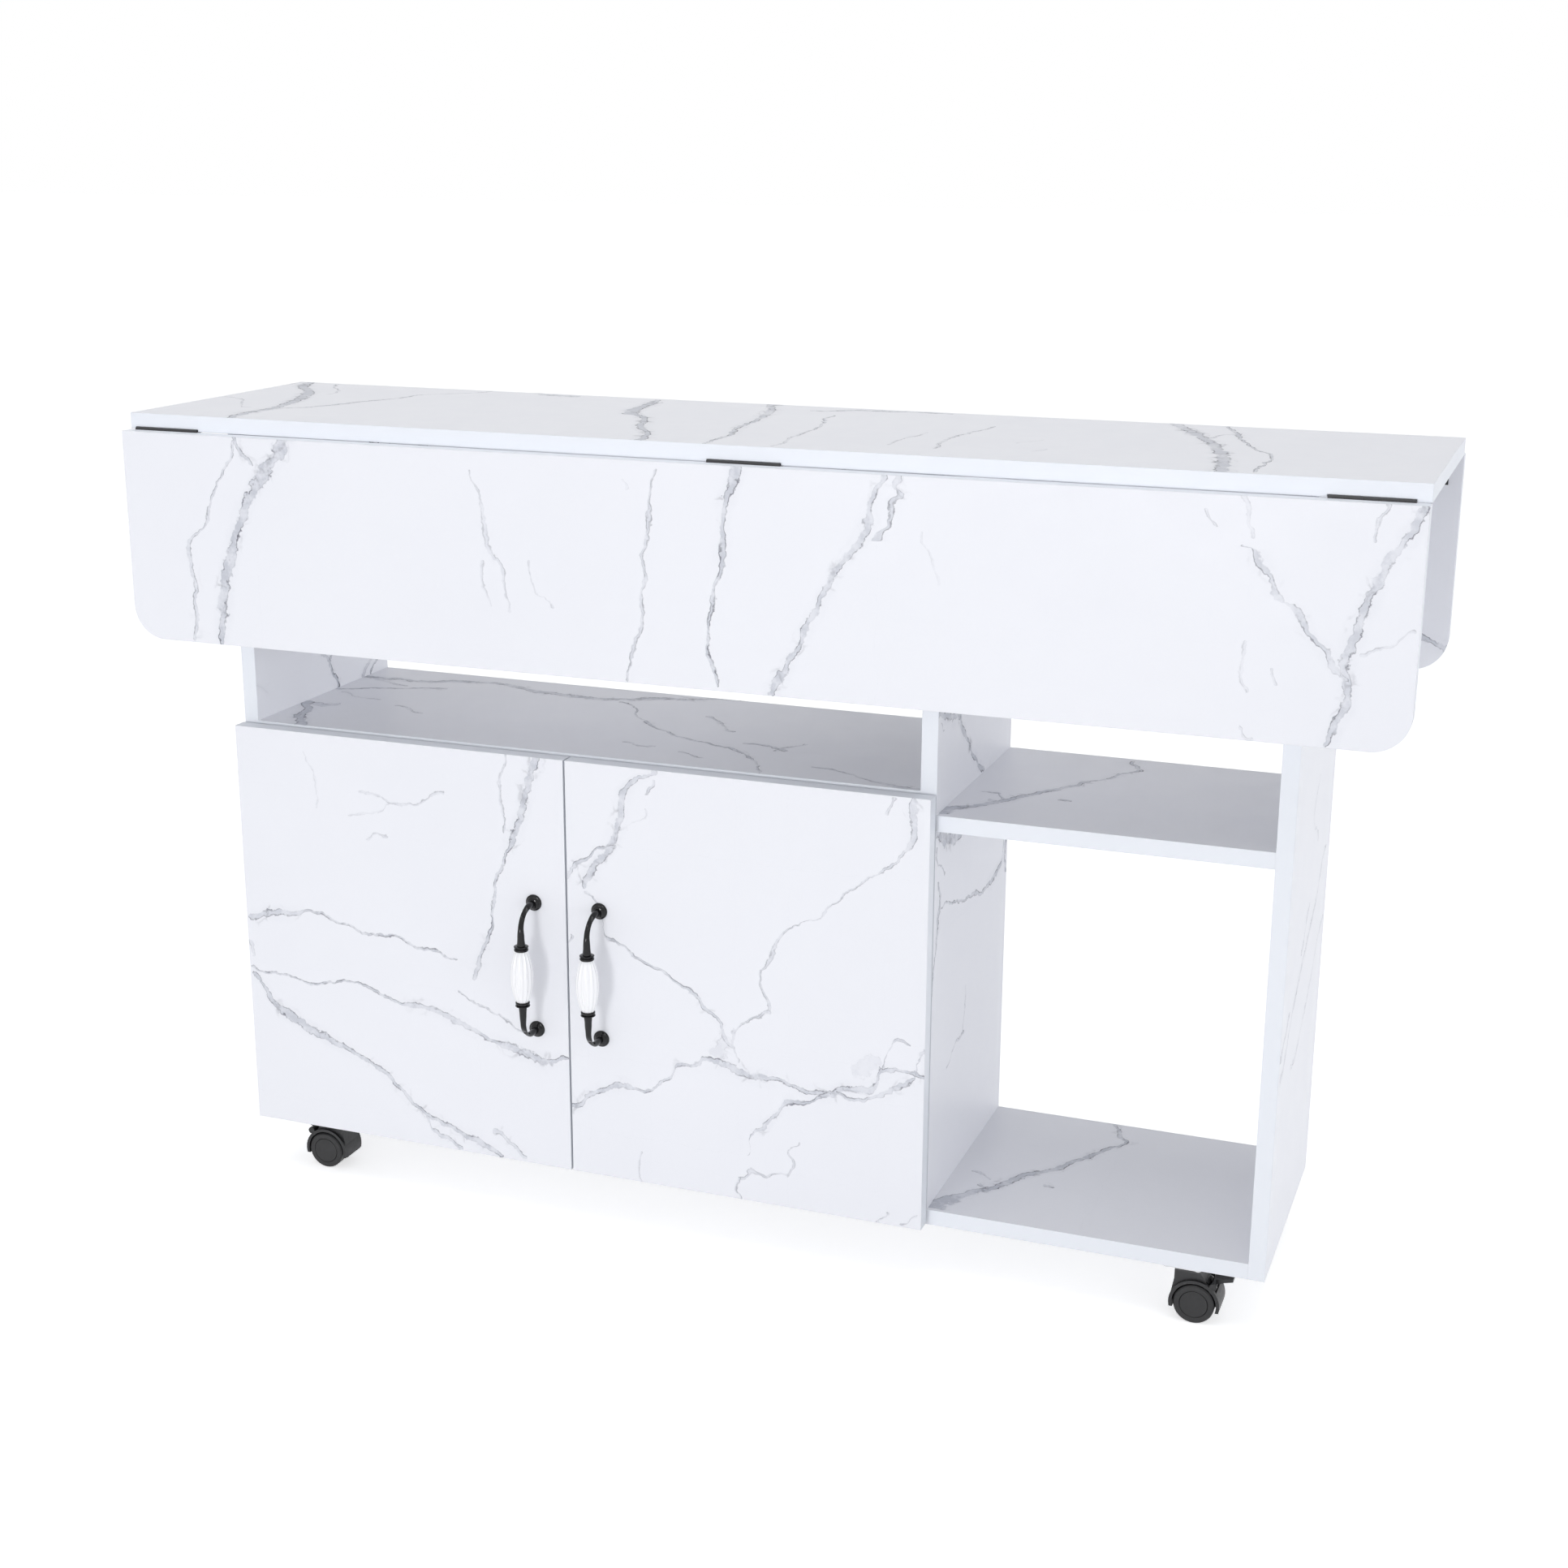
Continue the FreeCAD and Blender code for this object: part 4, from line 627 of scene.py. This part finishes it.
def marble(node):
    """Laminate with this board's veins on its broad faces and plain banding on its edges."""
    g = Graph("laminate_" + node)
    soft, dark = marks(g, node)
    grain = g.level(GRAIN)
    fine = g.level(FINE)
    mottle = g.math("MULTIPLY_ADD", fine, FINE_SHARE, grain)
    soft = g.math("MULTIPLY", soft, g.ramp(mottle, *SOFT_FADE, *SOFT_RANGE))
    dark = g.math("MULTIPLY", dark, g.ramp(mottle, *DARK_FADE, *DARK_RANGE))
    speck = g.level(SPECK)
    colour = g.mix(g.ramp(g.level(CLOUD), *CLOUD_FADE, 0.0, CLOUD_SHARE), FACE_LIGHT, FACE_CLOUD)
    colour = g.mix(g.ramp(speck, *SPECK_FADE, 0.0, SPECK_SHARE), colour, FACE_CLOUD)
    colour = g.mix(soft, colour, VEIN_SOFT)
    colour = g.mix(dark, colour, VEIN_DARK)

    facing = g.math("ABSOLUTE", g.axes(g.coord.outputs["Normal"])[BOARDS[node][0]])
    banding = g.mix(g.ramp(speck, *BAND_SPECK_FADE, 0.0, BAND_SPECK_SHARE), BAND, FACE_LIGHT)
    colour = g.mix(g.math("GREATER_THAN", facing, BROAD_FROM), banding, colour)
    rounded = g.add("Bevel", samples=4)
    rounded.inputs["Radius"].default_value = ROUND_EDGE
    g.set(Base_Color=colour)
    g.set(Roughness=g.ramp(grain, *BOARD_ROUGH))
    g.set(Specular_IOR_Level=BOARD_GLOSS)
    g.set(Normal=g.bump(fine, *BOARD_RELIEF, rounded.outputs[0]))
    return g.mat


# ---------------------------------------------------------------- other materials
def plain(name, light, shade, rough, metal=0.0, coat=0.0, scale=120.0, relief=0.05, gloss=0.5):
    """A material whose colour, roughness and surface all wander a little."""
    g = Graph(name)
    grain = g.level((scale, *PLAIN_GRAIN))
    wide = g.level((scale * WIDE_SHARE, WIDE_DETAIL))
    g.set(Base_Color=g.mix(g.ramp(wide, *WIDE_FADE), light + (1,), shade + (1,)))
    g.set(Metallic=metal, Coat_Weight=coat, Coat_Roughness=COAT_ROUGH, Specular_IOR_Level=gloss)
    rough_range = (rough * (1 - ROUGH_WANDER), rough * (1 + ROUGH_WANDER))
    g.set(Roughness=g.ramp(grain, *ROUGH_FADE, *rough_range))
    g.set(Normal=g.bump(grain, relief, RELIEF_DEPTH))
    return g.mat


def paint(materials):
    """Give every CAD node the material for its place on the object."""
    slots = {s["node"]: s["material_slot"] for s in frame["record"]["subparts"]}
    for node, obj in NODES.items():
        if node in BOARDS:
            mat = marble(node)
        elif "wheel" in node:
            mat = materials["wheel"]
        elif "brake_lever" in node:
            mat = materials["lever"]
        else:
            mat = materials[slots[node]]
        obj.data.materials.clear()
        obj.data.materials.append(mat)


# ---------------------------------------------------------------- pulls
def skin(bm, rings):
    """Closed surface through rings, each with its centre, two directions and a radius."""
    rows = []
    for centre, side, other, radius in rings:
        row = []
        for i in range(SIDES):
            a = 2 * math.pi * i / SIDES
            row.append(bm.verts.new(centre + radius * (side * math.cos(a) + other * math.sin(a))))
        rows.append(row)
    for row, following in zip(rows, rows[1:]):
        for i in range(SIDES):
            j = (i + 1) % SIDES
            bm.faces.new((row[i], row[j], following[j], following[i]))
    bm.faces.new(rows[0][::-1])
    bm.faces.new(rows[-1])


def leg_radius(share):
    """Radius of a leg at a share of its length, eased between the given ones."""
    for (a, low), (b, high) in zip(PULL_LEG, PULL_LEG[1:]):
        if share <= b:
            t = (share - a) / (b - a)
            return low + (high - low) * t * t * (3 - 2 * t)
    return PULL_LEG[-1][1]


def leg_rings(sweep, reach, rise, end):
    """Places, turns and radii along a leg from the door to the grip, in mm out and off the middle."""
    out = reach - sweep
    drop = rise - sweep - end
    total = out + sweep * math.pi / 2 + drop
    rings = []
    for i in range(STEPS + 1):
        d = total * i / STEPS
        turn = min(max((d - out) / sweep, 0.0), math.pi / 2)
        y = min(d, out) + sweep * math.sin(turn)
        z = rise - sweep * (1 - math.cos(turn)) - max(d - total + drop, 0.0)
        rings.append((y, z, turn, leg_radius(i / STEPS)))
    return rings


def pull_metal(side, mat):
    """Both legs of a door's pull, with their roses and collars, in place of the plain ones."""
    low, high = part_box(side + "_pull_legs")
    grip_low, grip_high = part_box(side + "_pull_grip")
    middle = (low + high) / 2
    reach = (high.y - (grip_low.y + grip_high.y) / 2) / MM
    rise = (high.z - low.z) / 2 / MM - ROSE_RADIUS
    end = (grip_high.z - grip_low.z) / 2 / MM

    def at(out, height):
        """A place so many millimetres out from the door and above the pull's middle."""
        return Vector((middle.x, high.y - out * MM, middle.z + height * MM))

    bm = bmesh.new()
    for up, sweep in zip((1, -1), PULL_SWEEPS):
        rings = []
        for out, height, turn, radius in leg_rings(sweep, reach, rise, end + COLLAR_HEIGHT / 2):
            normal = Vector((0, math.sin(turn), up * math.cos(turn)))
            rings.append((at(out, up * height), ACROSS, normal, radius * MM))
        skin(bm, rings)
        skin(bm, [(at(h, up * rise), ACROSS, UPWARD, r * MM) for r, h in PULL_ROSE])
        skin(bm, [(at(reach, up * (end + h)), ACROSS, OUTWARD, r * MM) for r, h in PULL_COLLAR])
    bmesh.ops.recalc_face_normals(bm, faces=bm.faces)
    mesh = bpy.data.meshes.new(side + "_pull_metal")
    bm.to_mesh(mesh)
    bm.free()
    mesh.shade_smooth()
    mesh.set_sharp_from_angle(angle=math.radians(CREASE))
    mesh.materials.append(mat)
    piece = bpy.data.objects.new(side + "_pull_metal", mesh)
    bpy.context.collection.objects.link(piece)
    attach(piece, side + "_door")
    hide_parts(side + "_pull_legs")


# ---------------------------------------------------------------- stage
def backdrop_seen(g):
    """1 where the backdrop shows to the camera, straight, mirrored or through something clear."""
    path = g.add("LightPath").outputs
    seen = g.math("MAXIMUM", path["Is Camera Ray"], path["Is Glossy Ray"])
    return g.math("MAXIMUM", seen, path["Is Transmission Ray"])


def add_floor():
    """Near-white floor that is a little lit for the camera and keeps the object's shadow."""
    g = Graph("floor")
    g.set(Base_Color=g.mix(g.level(FLOOR_SPECK), FLOOR_SHADE, FLOOR_LIGHT))
    g.set(Roughness=FLOOR_ROUGH, Specular_IOR_Level=0.0)
    g.set(Emission_Color=(1, 1, 1, 1))
    g.set(Emission_Strength=g.math("MULTIPLY", backdrop_seen(g), FLOOR_GLOW))
    bpy.ops.mesh.primitive_plane_add(size=FLOOR_SIZE, location=(0, 0, 0))
    floor = bpy.context.object
    floor.name = "floor"
    floor.data.materials.append(g.mat)


def add_world():
    """Soft light, strongest low on the right, from a backdrop that shows as plain white itself."""
    world = bpy.data.worlds.new("studio")
    bpy.context.scene.world = world
    world.use_nodes = True
    g = Graph(tree=world.node_tree)
    back = next(n for n in g.tree.nodes if n.type == "BACKGROUND")
    g.wire(g.mix(backdrop_seen(g), WORLD_TINT, (1, 1, 1, 1)), back.inputs["Color"])
    way = g.axes(g.add("TexCoord").outputs["Generated"])
    glow = g.ramp(way[0], *GLOW_WAY, GLOW_LEFT, GLOW_RIGHT)
    glow = g.math("MULTIPLY", g.ramp(way[2], 0.0, GLOW_TOP, 1.0, 0.0), glow)
    light = g.math("ADD", g.ramp(way[2], 0.0, LOW_TOP, WORLD_LOW, WORLD_HIGH), glow)
    g.wire(g.ramp(backdrop_seen(g), 0.0, 1.0, light, 1.0, soft=False), back.inputs["Strength"])


def add_lamp(name, place, target, size, power):
    data = bpy.data.lights.new(name, "AREA")
    data.shape = "RECTANGLE"
    data.size, data.size_y = size
    data.energy = power
    lamp = bpy.data.objects.new(name, data)
    lamp.location = place
    lamp.rotation_euler = (Vector(target) - Vector(place)).to_track_quat("-Z", "Y").to_euler()
    bpy.context.collection.objects.link(lamp)
    return lamp


def fill_lamp(name, shelf, left, right, power):
    """Fill under the top between two shares of the width of the shelf below."""
    low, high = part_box(shelf)
    wide = high.x - low.x
    middle = low.x + wide * (left + right) / 2
    depth = (low.y + high.y) / 2
    size = (wide * (right - left), (high.y - low.y) * FILL_DEPTH)
    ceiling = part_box("top_panel")[0].z
    lamp = add_lamp(name, (middle, depth, ceiling - MM), (middle, depth, 0.0), size, power)
    lamp.visible_camera = False


# ---------------------------------------------------------------- the scene
MATERIALS = {
    "black_steel": plain("black_steel", (0.020, 0.020, 0.022), (0.030, 0.030, 0.033), 0.38),
    "zinc_steel": plain("zinc_steel", (0.56, 0.56, 0.58), (0.66, 0.66, 0.68), 0.34, metal=1.0),
    "ceramic_white": plain("ceramic_white", (0.91, 0.91, 0.93), (0.94, 0.94, 0.95), 0.20, coat=0.6,
                           scale=60.0, relief=0.02),
    "clear_plastic": plain("clear_plastic", (0.70, 0.71, 0.72), (0.76, 0.77, 0.78), 0.30, coat=0.3),
    "black_plastic": plain("black_plastic", (0.010, 0.010, 0.011), (0.016, 0.016, 0.018), 0.42,
                           scale=240.0),
    "wheel": plain("wheel", (0.008, 0.008, 0.009), (0.013, 0.013, 0.014), 0.48, scale=240.0),
    "lever": plain("lever", (0.010, 0.010, 0.011), (0.016, 0.016, 0.017), 0.36, scale=240.0),
    "pull": plain("pull", (0.002, 0.002, 0.003), (0.004, 0.004, 0.005), 0.12, scale=90.0,
                  relief=0.01, gloss=0.36),
}
paint(MATERIALS)
for door_side in ("left", "right"):
    pull_metal(door_side, MATERIALS["pull"])
add_floor()
add_world()
add_camera()
add_lamp("key", **KEY)
add_lamp("overhead", **OVERHEAD)
fill_lamp("tray_fill", *TRAY_FILL)
fill_lamp("bay_fill", *BAY_FILL)

scene = bpy.context.scene
scene.view_settings.view_transform = "Standard"
